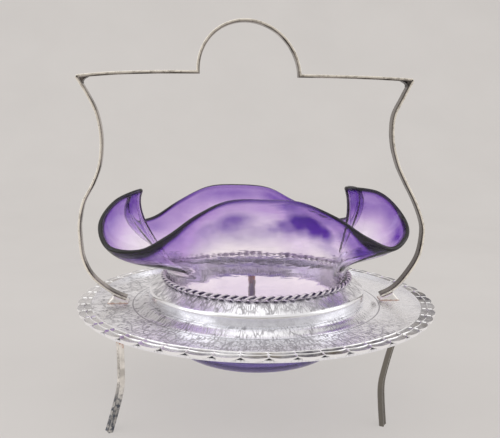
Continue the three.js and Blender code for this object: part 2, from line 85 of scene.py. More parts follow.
# Places of a leg below its bend, as shares of its height: outward, and up from the table
LEG_PATH_SHARES = [[-0.06, 0.83], [-0.094, 0.58], [-0.104, 0.41], [-0.081, 0.245], [-0.03, 0]]

# Clouds of deeper amethyst in the wall, partly the glass's own uneven tint and partly a painted
# refraction of the dark rim seen through the wall: share of the way round the lip, then
# millimetres below it, share of the round and millimetres to their edges, and strength. They are
# crisp towards the lip and fade downwards
CLOUDS_AND_REFRACTIONS = [
    [0.695, 8, 0.02, 8, 0.4], [0.722, 8.5, 0.022, 12, 0.75], [0.7, 10, 0.03, 12, 0.45],
    [0.735, 14, 0.05, 9, 0.45], [0.805, 16, 0.03, 8, 0.35], [0.752, 13, 0.012, 8, 0.55],
    [0.763, 11, 0.014, 9, 0.8], [0.775, 8, 0.015, 10, 1.2], [0.787, 7.5, 0.015, 11, 1.25],
    [0.799, 9, 0.013, 9, 1.1], [0.835, 5, 0.03, 8, 0.6], [0.87, 4, 0.035, 9, 0.85],
    [0.855, 7, 0.025, 8, 1.2], [0.605, 5, 0.03, 8, 0.5], [0.95, 4, 0.05, 12, 0.6],
    [0.04, 4, 0.05, 12, 0.5], [0.92, 6, 0.03, 9, 0.9], [0.985, 8, 0.04, 10, 0.5],
    [0.545, 4, 0.045, 12, 0.6], [0.46, 4, 0.05, 12, 0.5], [0.26, 3, 0.05, 8, 0.45],
    [0.2, 3, 0.04, 8, 0.8], [0.36, 4, 0.03, 8, 0.4], [0.13, 4, 0.03, 8, 0.4],
]

# Places where the rim was gathered thicker: share of the round, its half width, and millimetres
GATHERED_RIM = [[0.87, 0.045, 3.4], [0.6, 0.055, 2.4]]

# Direction of each leg round the axis and how far its foot splays outward, both in degrees
LEGS = {"left": (-153, 6.3), "right": (-32.5, -6.3), "back": (87, 0)}

# From the collar's riser out to the bend of a leg
LEG_PLACE = 23.4

# From the flange up to the foot of an arm
PAD_HEIGHT = 1.65

# Sides of the turned rings
ROUND_SIDES = 192


def node_mm(node):
    """Lowest and highest corner of a node's box, in millimetres"""
    low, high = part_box(node)
    return [value / MM for value in low], [value / MM for value in high]


BOWL_LOW = node_mm("glass_bowl")[0]
COLLAR_HIGH = node_mm("bowl_collar")[1]
PLATE_HIGH = node_mm("tray_plate")[1]
BORDER_LOW, BORDER_HIGH = node_mm("tray_border")


class BowlSizes(bpy.types.PropertyGroup):
    """Sizes of the glass bowl, in millimetres"""

    base_radius: bpy.props.FloatProperty(
        name="Base radius", description="Outer radius above the rounded bottom corner",
        default=46.7)
    waist_radius: bpy.props.FloatProperty(
        name="Waist radius", description="Outer radius where the wall starts to flare",
        default=48.5)
    stand: bpy.props.FloatProperty(
        name="Stand", description="From the tray's ledge up to the waist", default=17)
    corner_rise: bpy.props.FloatProperty(
        name="Corner rise", description="Height of the rounded bottom corner", default=22.5)
    corner_power: bpy.props.FloatProperty(
        name="Corner power", description="Squareness of the bottom corner", default=4)
    base_thickness: bpy.props.FloatProperty(
        name="Base thickness", description="Glass at the middle of the base", default=4.5)
    waist_thickness: bpy.props.FloatProperty(
        name="Waist thickness", description="Glass at the waist", default=3)
    lip_thickness: bpy.props.FloatProperty(
        name="Lip thickness", description="Glass at the lip", default=2.4)
    lip_half_length: bpy.props.FloatProperty(
        name="Lip half length", description="From the axis to the ends of the lip", default=80)
    lip_half_width: bpy.props.FloatProperty(
        name="Lip half width", description="From the axis to the sides of the lip", default=42)
    lip_low_rise: bpy.props.FloatProperty(
        name="Lip low rise", description="Waist up to the lowest places of the lip", default=15)
    lip_high_rise: bpy.props.FloatProperty(
        name="Lip high rise", description="Lowest up to the highest places", default=26.5)
    low_slope: bpy.props.FloatProperty(
        name="Low slope", description="Slope of the wall at the low places",
        default=math.radians(15), subtype="ANGLE")
    high_slope: bpy.props.FloatProperty(
        name="High slope", description="Slope of the wall at the high places",
        default=math.radians(112), subtype="ANGLE")
    waist_pull: bpy.props.FloatProperty(
        name="Waist pull", description="How far the wall keeps its direction above the waist",
        default=7)
    lip_pull: bpy.props.FloatProperty(
        name="Lip pull", description="How far the wall keeps its direction below the lip",
        default=16)
    turn: bpy.props.FloatProperty(
        name="Turn", description="Of the bowl from the handle's line", default=math.radians(7.5),
        subtype="ANGLE")


class StandSizes(bpy.types.PropertyGroup):
    """Sizes of the plated stand, in millimetres"""

    flange_height: bpy.props.FloatProperty(
        name="Flange height", description="Table to the top of the tray's flange",
        default=BORDER_LOW[2])
    ledge_height: bpy.props.FloatProperty(
        name="Ledge height", description="Table to the top of the tray's ledge",
        default=PLATE_HIGH[2])
    plate_thickness: bpy.props.FloatProperty(
        name="Plate thickness", description="Of the tray", default=1.2)
    plate_radius: bpy.props.FloatProperty(
        name="Plate radius", description="Of the tray without its border", default=PLATE_HIGH[0])
    tray_radius: bpy.props.FloatProperty(
        name="Tray radius", description="Of the tray with its border", default=BORDER_HIGH[0])
    plate_hole: bpy.props.FloatProperty(
        name="Plate hole", description="Radius of the hole for the bowl", default=47.85)
    riser_radius: bpy.props.FloatProperty(
        name="Riser radius", description="Outer radius of the collar", default=COLLAR_HIGH[0])
    riser_height: bpy.props.FloatProperty(
        name="Riser height", description="Upright part of the collar", default=6)
    shoulder_width: bpy.props.FloatProperty(
        name="Shoulder width", description="Riser in to the collar's mouth", default=9)
    collar_top: bpy.props.FloatProperty(
        name="Collar top", description="Table to the collar's mouth", default=COLLAR_HIGH[2])
    wire_radius: bpy.props.FloatProperty(
        name="Wire radius", description="Of the twisted wire on the collar", default=1.3)
    scallops: bpy.props.IntProperty(
        name="Scallops", description="Beads in each row of the border", default=48)
    strip_thickness: bpy.props.FloatProperty(
        name="Strip thickness", description="Of the handle", default=1.7)
    strip_width: bpy.props.FloatProperty(
        name="Strip width", description="Of the handle", default=5.6)
    leg_thickness: bpy.props.FloatProperty(
        name="Leg thickness", description="Of a leg", default=2.4)
    leg_width: bpy.props.FloatProperty(
        name="Leg width", description="Of a leg", default=4.8)


class FinishColours(bpy.types.PropertyGroup):
    """Colours of the metal and the glass"""

    plate: bpy.props.StringProperty(
        name="Plate", description="Silver plate of the tray, sRGB hex", default="f9faff")
    tarnish: bpy.props.StringProperty(
        name="Tarnish", description="Tarnish in the engraving, sRGB hex", default="575058")
    strip: bpy.props.StringProperty(
        name="Strip", description="Worn plate of the handle, sRGB hex", default="a8a19b")
    copper: bpy.props.StringProperty(
        name="Copper", description="Bared metal under the plate, sRGB hex", default="b98d7a")
    rim_glass: bpy.props.StringProperty(
        name="Rim glass", description="Amethyst at the rim, sRGB hex", default="6636ae")
    wall_glass: bpy.props.StringProperty(
        name="Wall glass", description="Pale lilac of the wall, sRGB hex", default="cfb5e8")


def linear(text):
    """An sRGB hex value as linear red, green, blue and alpha"""
    channels = []
    for i in (0, 2, 4):
        value = int(text[i:i + 2], 16) / 255
        channels.append(value / 12.92 if value <= 0.04045 else ((value + 0.055) / 1.055) ** 2.4)
    return (*channels, 1)


def add_node(tree, kind, inputs=(), output=0, **settings):
    """Adds a shader node with its settings, fills or links its inputs and gives one output"""
    node = tree.nodes.new("ShaderNode" + kind)
    for name, value in settings.items():
        setattr(node, name, value)
    named = inputs.items() if isinstance(inputs, dict) else enumerate(inputs)
    for name, value in named:
        if isinstance(value, bpy.types.NodeSocket):
            tree.links.new(value, node.inputs[name])
        else:
            node.inputs[name].default_value = value
    return node.outputs[output] if node.outputs else None


def new_material(name):
    """An empty material and its node tree"""
    material = bpy.data.materials.new(name)
    material.use_nodes = True
    material.node_tree.nodes.clear()
    return material, material.node_tree


def finish_metal(material, colour, roughness, relief=None, strength=0.0, depth=0.0, sunk=False):
    """Joins a metal's colour, roughness and relief, whose depth is in millimetres"""
    tree = material.node_tree
    inputs = {"Base Color": colour, "Metallic": 1.0, "Roughness": roughness}
    if relief is not None:
        inputs["Normal"] = add_node(tree, "Bump", {
            "Strength": strength, "Distance": depth * MM, "Height": relief}, invert=sunk)
    shader = add_node(tree, "BsdfPrincipled", inputs)
    add_node(tree, "OutputMaterial", {"Surface": shader})
    return material


def soft_patches(tree, place, size, *span, detail=2.0, distortion=0.0):
    """Patches about as large as the size in millimetres. The span gives the low and high values
    of the noise, and what they become where that isn't 0 and 1"""
    noise = add_node(tree, "TexNoise", {
        "Vector": place, "Scale": 1 / size, "Detail": detail, "Distortion": distortion})
    return add_node(tree, "MapRange", (noise, *span))


def millimetres(tree):
    """The place on the object in millimetres"""
    place = add_node(tree, "TexCoord", output="Object")
    return add_node(tree, "VectorMath", {0: place, "Scale": 1 / MM}, operation="SCALE")


def round_axis(tree, place):
    """The angle round the axis from the front, in radians, and the distance from the axis"""
    parts = add_node(tree, "SeparateXYZ", (place,)).node.outputs
    back = add_node(tree, "Math", (parts[1], -1.0), operation="MULTIPLY")
    angle = add_node(tree, "Math", (parts[0], back), operation="ARCTAN2")
    flat = add_node(tree, "CombineXYZ", (parts[0], parts[1]))
    return angle, add_node(tree, "VectorMath", (flat,), "Value", operation="LENGTH")


def running_leaves(tree, angle, radius, middle, swing, waves):
    """A stem that winds round a ring with veined leaves on both sides, 1 on a cut line"""
    wave = add_node(tree, "Math", (angle, waves), operation="MULTIPLY")
    wave = add_node(tree, "Math", (wave,), operation="SINE")
    stem_place = add_node(tree, "Math", (wave, swing, middle), operation="MULTIPLY_ADD")
    away = add_node(tree, "Math", (radius, stem_place), operation="SUBTRACT")
    away = add_node(tree, "Math", (away,), operation="ABSOLUTE")
    stem = add_node(tree, "MapRange", (away, 0.7, 0.25))
    slant = add_node(tree, "Math", (angle, waves * 10.0), operation="MULTIPLY")
    slant = add_node(tree, "Math", (away, 0.8, slant), operation="MULTIPLY_ADD")
    slant = add_node(tree, "Math", (slant,), operation="SINE")
    veins = add_node(tree, "MapRange", (slant, 0.05, 0.6))
    lobes = add_node(tree, "Math", (angle, waves * 1.5), operation="MULTIPLY")
    lobes = add_node(tree, "Math", (lobes,), operation="SINE")
    lobes = add_node(tree, "Math", (lobes,), operation="ABSOLUTE")
    reach = add_node(tree, "Math", (lobes, swing * 1.3, 0.4), operation="MULTIPLY_ADD")
    inside = add_node(tree, "Math", (reach, away), operation="SUBTRACT")
    inside = add_node(tree, "MapRange", (inside, 0.0, 0.5))
    veins = add_node(tree, "Math", (veins, inside), operation="MULTIPLY")
    return add_node(tree, "Math", (stem, veins), operation="MAXIMUM")


def fluted_edge(tree, place, angle, radius, flutes):
    """Fine flutes that run out to the border, half worn away, 1 in a flute"""
    comb = add_node(tree, "Math", (angle, float(flutes)), operation="MULTIPLY")
    comb = add_node(tree, "Math", (comb,), operation="SINE")
    comb = add_node(tree, "MapRange", (comb, 0.3, 0.95))
    kept = soft_patches(tree, place, 11, 0.4, 0.6)
    outer = add_node(tree, "MapRange", (radius, 81.5, 83.0))
    outer = add_node(tree, "Math", (outer, kept), operation="MULTIPLY")
    outer = add_node(tree, "Math", (outer, 0.6), operation="MULTIPLY")
    return add_node(tree, "Math", (comb, outer), operation="MULTIPLY")


def engraved_plate(colours, name, rows, middle, flutes=0):
    """Electroplated silver on a rolled plate, bright-cut by hand: the plate mirrors the pale room,
    and the cut lines hold dark tarnish, so that it reads as pale grey lace. The ground between
    the leaves is cut with curls 2 mm apart, coarser than real ones, so that they show"""
    curl_size, bend_size, patch_size, stain_size = 2.1, 1.8, 5, 24
    scribed_radius = 66.3
    material, tree = new_material(name)
    place = millimetres(tree)
    angle, radius = round_axis(tree, place)
    lines = 0.0
    for row_middle, swing, waves in rows:
        leaves = running_leaves(tree, angle, radius, row_middle, swing, waves)
        lines = add_node(tree, "Math", (lines, leaves), operation="MAXIMUM")
    lines = add_node(tree, "Math", (lines, 0.75), operation="MULTIPLY")
    around = add_node(tree, "Math", (angle, middle), operation="MULTIPLY")
    across = add_node(tree, "Math", (radius, 0.35), operation="MULTIPLY")
    unrolled = add_node(tree, "CombineXYZ", (around, across))
    warped = add_node(tree, "TexNoise", {
        "Vector": unrolled, "Scale": 1 / bend_size, "Detail": 1.0}, "Color")
    bent = add_node(tree, "VectorMath", (warped, (bend_size,) * 3, unrolled),
                    operation="MULTIPLY_ADD")
    edges = add_node(tree, "TexVoronoi", {"Vector": bent, "Scale": 1 / curl_size}, "Distance",
                     feature="DISTANCE_TO_EDGE")
    curls = add_node(tree, "MapRange", (edges, 0.13, 0.05))
    patches = soft_patches(tree, place, patch_size, 0.38, 0.6, 0.05, 1.0)
    curls = add_node(tree, "Math", (curls, patches), operation="MULTIPLY")
    cut = add_node(tree, "Math", (lines, curls), operation="MAXIMUM")
    if flutes:
        # Polishing has worn the right-hand side nearly smooth
        right = add_node(tree, "MapRange", (angle, 0.75, 1.2))
        front = add_node(tree, "MapRange", (angle, 3.0, 2.2))
        worn = add_node(tree, "Math", (right, front), operation="MULTIPLY")
        kept = add_node(tree, "Math", (worn, -0.85, 1.0), operation="MULTIPLY_ADD")
        cut = add_node(tree, "Math", (cut, kept), operation="MULTIPLY")
        # A circle is scribed inside the leaves
        away = add_node(tree, "Math", (radius, scribed_radius), operation="SUBTRACT")
        away = add_node(tree, "Math", (away,), operation="ABSOLUTE")
        scribed = add_node(tree, "MapRange", (away, 0.45, 0.2))
        comb = fluted_edge(tree, place, angle, radius, flutes)
        scribed = add_node(tree, "Math", (comb, scribed), operation="MAXIMUM")
        cut = add_node(tree, "Math", (cut, scribed), operation="MAXIMUM")
    engraved = add_node(tree, "Attribute", output="Fac", attribute_name="engraved")
    cut = add_node(tree, "Math", (cut, engraved), operation="MULTIPLY")
    stain = soft_patches(tree, place, stain_size, 0.4, 0.75, detail=3.0)
    plain = add_node(tree, "Mix", {0: stain, 6: linear(colours.plate), 7: linear("f0f0f4")}, 2,
                     data_type="RGBA")
    if flutes:
        # Painted shade: the plate is coloured grey beside the collar on the left, inside the
        # scribed circle
        back = add_node(tree, "MapRange", (angle, -1.75, -1.45))
        front = add_node(tree, "MapRange", (angle, -0.5, -0.9))
        painted_collar_shade = add_node(tree, "Math", (back, front), operation="MULTIPLY")
        near = add_node(tree, "MapRange", (radius, 74.0, 66.0))
        painted_collar_shade = add_node(tree, "Math", (painted_collar_shade, near), operation="MULTIPLY")
        painted_collar_shade = add_node(tree, "Math", (painted_collar_shade, 0.6), operation="MULTIPLY")
        plain = add_node(tree, "Mix", {0: painted_collar_shade, 6: plain, 7: linear("aeabb2")}, 2,
                         data_type="RGBA")
    share = add_node(tree, "Math", (cut, 0.58), operation="MULTIPLY")
    colour = add_node(tree, "Mix", {0: share, 6: plain, 7: linear(colours.tarnish)}, 2,
                      data_type="RGBA")
    roughness = add_node(tree, "Math", (engraved, 0.08, 0.19), operation="MULTIPLY_ADD")
    roughness = add_node(tree, "Math", (cut, 0.2, roughness), operation="MULTIPLY_ADD")
    return finish_metal(material, colour, roughness, cut, strength=0.2, depth=0.1,
                        sunk=True)


def cast_plate():
    """Cast white metal, plated and worn by polishing: the raised ridges are bright, and grey
    tarnish stays in the hollow pads between them"""
    grain_size, warm_size, worn_size = 2.5, 14, 30
    material, tree = new_material("plated_cast_border")
    place = millimetres(tree)
    grain = add_node(tree, "TexNoise", {"Vector": place, "Scale": 1 / grain_size, "Detail": 3.0})
    # Polishing has brightened the left-hand front most
    along = add_node(tree, "SeparateXYZ", (place,))
    along = add_node(tree, "MapRange", (along, -75.0, 20.0, 0.5, 1.0))
    kept = soft_patches(tree, place, worn_size, 0.42, 0.58, 0.6, 1.0, detail=1.0)
    kept = add_node(tree, "Math", (along, kept), operation="MULTIPLY")
    hollow = add_node(tree, "Attribute", output="Fac", attribute_name="hollow")
    hollow = add_node(tree, "MapRange", (hollow, 0.25, 0.6))
    dirt = add_node(tree, "Math", (hollow, kept), operation="MULTIPLY")
    speckled = add_node(tree, "MapRange", (grain, 0.3, 0.6, 0.7, 1.0))
    dirt = add_node(tree, "Math", (dirt, speckled), operation="MULTIPLY")
    warm = soft_patches(tree, place, warm_size, 0.5, 0.7)
    pad = add_node(tree, "Mix", {0: warm, 6: linear("5f5d65"), 7: linear("746a58")}, 2,
                   data_type="RGBA")
    colour = add_node(tree, "Mix", {0: dirt, 6: linear("fbfbfd"), 7: pad}, 2, data_type="RGBA")
    roughness = add_node(tree, "Math", (dirt, 0.25, 0.18), operation="MULTIPLY_ADD")
    return finish_metal(material, colour, roughness, grain, strength=0.3, depth=0.12)


def plated_wire():
    """Plated wire, drawn and laid up in two strands: the strands shine and violet-black tarnish
    fills the gaps between them"""
    grain_size = 1.5
    material, tree = new_material("twisted_plated_wire")
    place = millimetres(tree)
    hollow = add_node(tree, "Attribute", output="Fac", attribute_name="hollow")
    hollow = add_node(tree, "MapRange", (hollow, 0.25, 0.6))
    grain = soft_patches(tree, place, grain_size, 0.35, 0.55, 0.4, 1.0)
    gap = add_node(tree, "Math", (hollow, grain), operation="MULTIPLY")
    # Polishing has kept the back cleaner
    back = add_node(tree, "SeparateXYZ", (place,), 1)
    back = add_node(tree, "MapRange", (back, 0.0, 25.0, 1.0, 0.05))
    gap = add_node(tree, "Math", (gap, back), operation="MULTIPLY")
    colour = add_node(tree, "Mix", {0: gap, 6: linear("dcd6de"), 7: linear("52466a")}, 2,
                      data_type="RGBA")
    roughness = add_node(tree, "Math", (gap, 0.3, 0.3), operation="MULTIPLY_ADD")
    return finish_metal(material, colour, roughness)


def rolled_strip(colours):
    """Nickel alloy strip, rolled, bent by hand and plated: fine lines run along it, brown tarnish
    has gathered in soft patches, and a near-white highlight is painted along its edges"""
    patch_size, line_size = 12, 2.2
    material, tree = new_material("bent_plated_strip")
    place = millimetres(tree)
    stretched = add_node(tree, "Mapping", {"Vector": place, "Scale": (1.0, 6.0, 1.0)})
    lines = add_node(tree, "TexNoise", {
        "Vector": stretched, "Scale": 1 / line_size, "Detail": 3.0})
    patches = soft_patches(tree, place, patch_size, 0.38, 0.66, detail=3.0)
    # Painted shade: the right-hand arm and the right end of the rail are coloured towards dark
    # brown, on top of the tarnish patches
    right = add_node(tree, "SeparateXYZ", (place,))
    right = add_node(tree, "MapRange", (right, 50.0, 80.0, 0.0, 0.8))
    patches = add_node(tree, "Math", (patches, right), operation="MAXIMUM")
    colour = add_node(tree, "Mix", {
        0: patches, 6: linear(colours.strip), 7: linear("433d38")}, 2, data_type="RGBA")
    # A near-white highlight is painted along the strip's edges, broken by the rolling lines
    edge = add_node(tree, "Attribute", output="Fac", attribute_name="edge")
    edge = add_node(tree, "MapRange", (edge, 0.45, 0.9))
    streaky = add_node(tree, "MapRange", (lines, 0.3, 0.5, 0.55, 1.0))
    painted_edge_highlight = add_node(tree, "Math", (edge, streaky), operation="MULTIPLY")
    colour = add_node(tree, "Mix", {0: painted_edge_highlight, 6: colour, 7: linear("fbf5ea")}, 2,
                      data_type="RGBA")
    roughness = add_node(tree, "MapRange", (lines, 0.3, 0.7, 0.24, 0.38))
    return finish_metal(material, colour, roughness, lines, strength=0.25, depth=0.08)


def soft_solder(name, bright, dark):
    """Soft solder, run in with a flame and left as it set: dull, lumpy and nearly black where the
    flux burnt"""
    lump_size = 1.6
    material, tree = new_material(name)
    place = millimetres(tree)
    lumps = add_node(tree, "TexNoise", {"Vector": place, "Scale": 1 / lump_size, "Detail": 3.0})
    share = add_node(tree, "MapRange", (lumps, 0.35, 0.65))
    colour = add_node(tree, "Mix", {0: share, 6: linear(dark), 7: linear(bright)}, 2,
                      data_type="RGBA")
    return finish_metal(material, colour, 0.42, lumps, strength=0.5, depth=0.3)


def pad_metal(colours, base):
    """A cast pad, plated and rubbed: white metal on its back, and bared copper that has gone
    brown along its foot"""
    grain_size = 2
    material, tree = new_material("worn_pad_with_copper")
    place = millimetres(tree)
    height = add_node(tree, "SeparateXYZ", (place,), 2)
    grain = add_node(tree, "TexNoise", {"Vector": place, "Scale": 1 / grain_size, "Detail": 3.0})
    ragged = add_node(tree, "Math", (grain, 1.6, height), operation="MULTIPLY_ADD")
    foot = add_node(tree, "MapRange", (ragged, base + 1.4, base + 1.0, 0.0, 0.75))
    colour = add_node(tree, "Mix", {0: foot, 6: linear("fbf8f4"), 7: linear(colours.copper)}, 2,
                      data_type="RGBA")
    return finish_metal(material, colour, 0.45, ragged, strength=0.3, depth=0.2)


def stippled_strip(colours):
    """Strip rolled with a stippled band between plain borders: the band glitters in small dots and
    the raised borders catch one long highlight each. Real dots are half a millimetre apart, and
    these are twice as coarse, so that they show"""
    dot_size, patch_size, ragged_size, speck_size = 1.1, 7, 3, 1.8
    material, tree = new_material("stippled_leg_strip")
    place = millimetres(tree)
    parts = add_node(tree, "SeparateXYZ", (place,)).node.outputs
    # The right-hand leg is browner
    right = add_node(tree, "MapRange", (parts[0], -10.0, 10.0))
    patches = soft_patches(tree, place, patch_size, 0.4, 0.62, detail=4.0)
    patches = add_node(tree, "Math", (patches, 0.45), operation="MULTIPLY")
    browner = add_node(tree, "Math", (right, 0.9), operation="MULTIPLY")
    patches = add_node(tree, "Math", (patches, browner), operation="MAXIMUM")
    plain = add_node(tree, "Mix", {0: patches, 6: linear("f2eee8"), 7: linear("605b52")}, 2,
                     data_type="RGBA")
    # Blue-black tarnish has crept up from the left-hand foot
    ragged = add_node(tree, "TexNoise", {
        "Vector": place, "Scale": 1 / ragged_size, "Detail": 4.0})
    ragged = add_node(tree, "Math", (ragged, 22.0, parts[2]), operation="MULTIPLY_ADD")
    low = add_node(tree, "MapRange", (ragged, 36.0, 26.0))
    left = add_node(tree, "MapRange", (right, 0.0, 1.0, 0.95, 0.15))
    tarnish = add_node(tree, "Math", (low, left), operation="MULTIPLY")
    specks = soft_patches(tree, place, speck_size, 0.4, 0.58, 0.45, 1.0)
    tarnish = add_node(tree, "Math", (tarnish, specks), operation="MULTIPLY")
    plain = add_node(tree, "Mix", {0: tarnish, 6: plain, 7: linear("464c58")}, 2,
                     data_type="RGBA")
    # Copper shows below the tray
    bared = add_node(tree, "MapRange", (ragged, 55.0, 60.0))
    plain = add_node(tree, "Mix", {0: bared, 6: plain, 7: linear(colours.copper)}, 2,
                     data_type="RGBA")
    dots = add_node(tree, "TexVoronoi", {"Vector": place, "Scale": 1 / dot_size}, "Distance")
    dots = add_node(tree, "MapRange", (dots, 0.5, 0.2))
    band = add_node(tree, "Attribute", output="Fac", attribute_name="hollow")
    dots = add_node(tree, "Math", (dots, band), operation="MULTIPLY")
    share = add_node(tree, "Math", (dots, 0.55), operation="MULTIPLY")
    colour = add_node(tree, "Mix", {0: share, 6: plain, 7: linear("4c4743")}, 2,
                      data_type="RGBA")
    return finish_metal(material, colour, 0.3, dots, strength=0.6, depth=0.15,
                        sunk=True)


def blown_glass(colours):
    """Soda-lime glass, blown, tinted with manganese and crimped hot: almost clear in the wall,
    lilac in clouds that are partly its own tint and partly a painted refraction of the dark rim,
    and nearly black along the thick rim. The colours are those of one surface of the wall, so
    each shows twice"""
    streak_size, wisp_size, swirl_size = 13, 6, 12
    material, tree = new_material("amethyst_blown_glass")
    place = millimetres(tree)
    # The colour fades from lilac at the lip to clear glass 70 mm below it
    flat = add_node(tree, "Mapping", {"Vector": place, "Scale": (1.0, 1.0, 3.5)})
    streaks = add_node(tree, "TexNoise", {
        "Vector": flat, "Scale": 1 / streak_size, "Distortion": 0.8})
    below_lip = add_node(tree, "Attribute", output="Fac", attribute_name="below_lip")
    below_lip = add_node(tree, "Math", (below_lip, 6.0), operation="SUBTRACT")
    below_lip = add_node(tree, "Math", (streaks, 12.0, below_lip), operation="MULTIPLY_ADD")
    fade = add_node(tree, "MapRange", (below_lip, 0.0, 70.0))
    colour = add_node(tree, "ValToRGB", {"Fac": fade})
    stops = colour.node.color_ramp.elements
    stops[0].position = 0.0
    stops[0].color = linear("a98ad0")
    stops[1].position = 1.0
    stops[1].color = linear("faf4fe")
    for position, tint in ((0.1, "b99ddb"), (0.2, colours.wall_glass), (0.32, "e8dbf5"),
                           (0.55, "fdf9fe")):
        stops.new(position).color = linear(tint)
    wisps = soft_patches(tree, place, wisp_size, 0.3, 0.6, 0.8, 1.1, distortion=0.6)
    streaky = add_node(tree, "MapRange", (streaks, 0.3, 0.6, 0.8, 1.1))
    streaky = add_node(tree, "Math", (streaky, wisps), operation="MULTIPLY")
    # Clouds of deeper colour, partly the glass's own tint and partly painted refraction of the dark
    # rim
    cloud_and_refraction = add_node(tree, "Attribute", output="Fac", attribute_name="cloud_and_refraction")
    cloud_and_refraction = add_node(tree, "Math", (cloud_and_refraction, streaky), operation="MULTIPLY")
    colour = add_node(tree, "Mix", {0: cloud_and_refraction, 6: colour, 7: linear(colours.rim_glass)}, 2,
                      data_type="RGBA")
    rim = add_node(tree, "Attribute", output="Fac", attribute_name="rim")
    rim = add_node(tree, "Math", (rim, 0.1), operation="SUBTRACT")
    rim = add_node(tree, "Math", (streaks, 0.2, rim), operation="MULTIPLY_ADD")
    for low, high, tint in ((0.0, 0.5, "6a44a6"), (0.5, 0.8, "160d24")):
        share = add_node(tree, "MapRange", (rim, low, high))
        colour = add_node(tree, "Mix", {0: share, 6: colour, 7: linear(tint)}, 2,
                          data_type="RGBA")
    # The rounded corner of the base is thick. Its front is painted deeper violet than the wall, as
    # painted refraction of the purple rim and painted shade under the tray
    radius = round_axis(tree, place)[1]
    parts = add_node(tree, "SeparateXYZ", (place,)).node.outputs
    corner = add_node(tree, "MapRange", (radius, 24.0, 40.0))
    for part, start, end in ((parts[2], 56.0, 46.0), (parts[1], 4.0, -12.0)):
        share = add_node(tree, "MapRange", (part, start, end))
        corner = add_node(tree, "Math", (corner, share), operation="MULTIPLY")
    colour = add_node(tree, "Mix", {0: corner, 6: colour, 7: linear("8474bb")}, 2,
                      data_type="RGBA")
    flat = add_node(tree, "Mapping", {"Vector": place, "Scale": (1.0, 1.0, 5.0)})
    swirl = add_node(tree, "TexNoise", {
        "Vector": flat, "Scale": 1 / swirl_size, "Distortion": 0.3})
    bump = add_node(tree, "Bump", {"Strength": 0.15, "Distance": 0.4 * MM, "Height": swirl})
    shader = add_node(tree, "BsdfPrincipled", {
        "Base Color": colour, "Metallic": 0.0, "Roughness": 0.02, "IOR": 1.5,
        "Transmission Weight": 1.0, "Normal": bump})
    # The glass of the base is slightly milky towards its rounded edge
    low = add_node(tree, "MapRange", (parts[2], 36.0, 28.0, 0.0, 0.5))
    outer = add_node(tree, "MapRange", (radius, 12.0, 30.0))
    share = add_node(tree, "Math", (low, outer), operation="MULTIPLY")
    milky = add_node(tree, "BsdfDiffuse", {"Color": linear("a392d4")})
    shader = add_node(tree, "MixShader", (share, shader, milky))
    add_node(tree, "OutputMaterial", {"Surface": shader})
    return material


def mesh_object(name, points, faces, material, values=None):
    """A smooth mesh from points in millimetres, with named numbers at its points"""
    mesh = bpy.data.meshes.new(name)
    mesh.from_pydata([tuple(value * MM for value in point) for point in points], [], faces)
    mesh.materials.append(material)
    for key, numbers in (values or {}).items():
        mesh.attributes.new(key, "FLOAT", "POINT").data.foreach_set("value", numbers)
    mesh.shade_smooth()
    piece = bpy.data.objects.new(name, mesh)
    bpy.context.collection.objects.link(piece)
    return piece


def grid_faces(rows, columns, join_rows, join_columns, offset=0):
    """Faces of a grid of points in rows, each row running anticlockwise below the next"""
    faces = []
    for i in range(rows if join_rows else rows - 1):
        for j in range(columns if join_columns else columns - 1):
            a, b = i * columns + j, i * columns + (j + 1) % columns
            c, d = (i + 1) % rows * columns + (j + 1) % columns, (i + 1) % rows * columns + j
            faces.append((a + offset, b + offset, c + offset, d + offset))
    return faces


def closed_faces(rows, columns):
    """Faces of a grid of closed rows, with a flat end at its first row and at its last"""
    faces = grid_faces(rows, columns, False, True)
    faces.append(tuple(reversed(range(columns))))
    faces.append(tuple(range((rows - 1) * columns, rows * columns)))
    return faces


def bend(start, corner, end, steps):
    """Places of a curve from start to end that is drawn towards the corner"""
    shares = [k / steps for k in range(steps + 1)]
    return [start * (1 - t) ** 2 + corner * 2 * t * (1 - t) + end * t ** 2 for t in shares]


def dress(piece, body, slot, *nodes):
    """Puts the piece on the body it rides and hides the solids it stands for. The slot, naming its
    finish, is not used
    """
    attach(piece, body)
    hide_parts(*nodes)


def rounded(corners, steps=4):
    """A closed section from [x, y, radius] corners, each corner rounded to its radius"""
    section = []
    for i, (x, y, radius) in enumerate(corners):
        corner = Vector((x, y))
        before = Vector(corners[i - 1][:2]) - corner
        after = Vector(corners[(i + 1) % len(corners)][:2]) - corner
        reach = min(radius, before.length * 0.45, after.length * 0.45)
        if reach <= 0:
            section.append((x, y))
            continue
        start = corner + before.normalized() * reach
        end = corner + after.normalized() * reach
        section += [(point.x, point.y) for point in bend(start, corner, end, steps)]
    return section


def turned(name, section, material, engraved):
    """A ring turned round the axis from a closed section of radius and height, with a number for
    each place of the section that is 1 where the ring is engraved"""
    points = []
    for i in range(ROUND_SIDES):
        angle = 2 * math.pi * i / ROUND_SIDES
        points += [(r * math.cos(angle), r * math.sin(angle), z) for r, z in section]
    faces = [tuple(reversed(face)) for face in grid_faces(ROUND_SIDES, len(section), True, True)]
    piece = mesh_object(name, points, faces, material, {"engraved": engraved * ROUND_SIDES})
    sharpen(piece)
    return piece


def smooth_place(p, t):
    """The place a share t of the way from the second to the third of four places on a curve"""
    v0, v1 = (p[2] - p[0]) / 2, (p[3] - p[1]) / 2
    return ((2 * p[1] - 2 * p[2] + v0 + v1) * t ** 3
            + (-3 * p[1] + 3 * p[2] - 2 * v0 - v1) * t ** 2 + v0 * t + p[1])


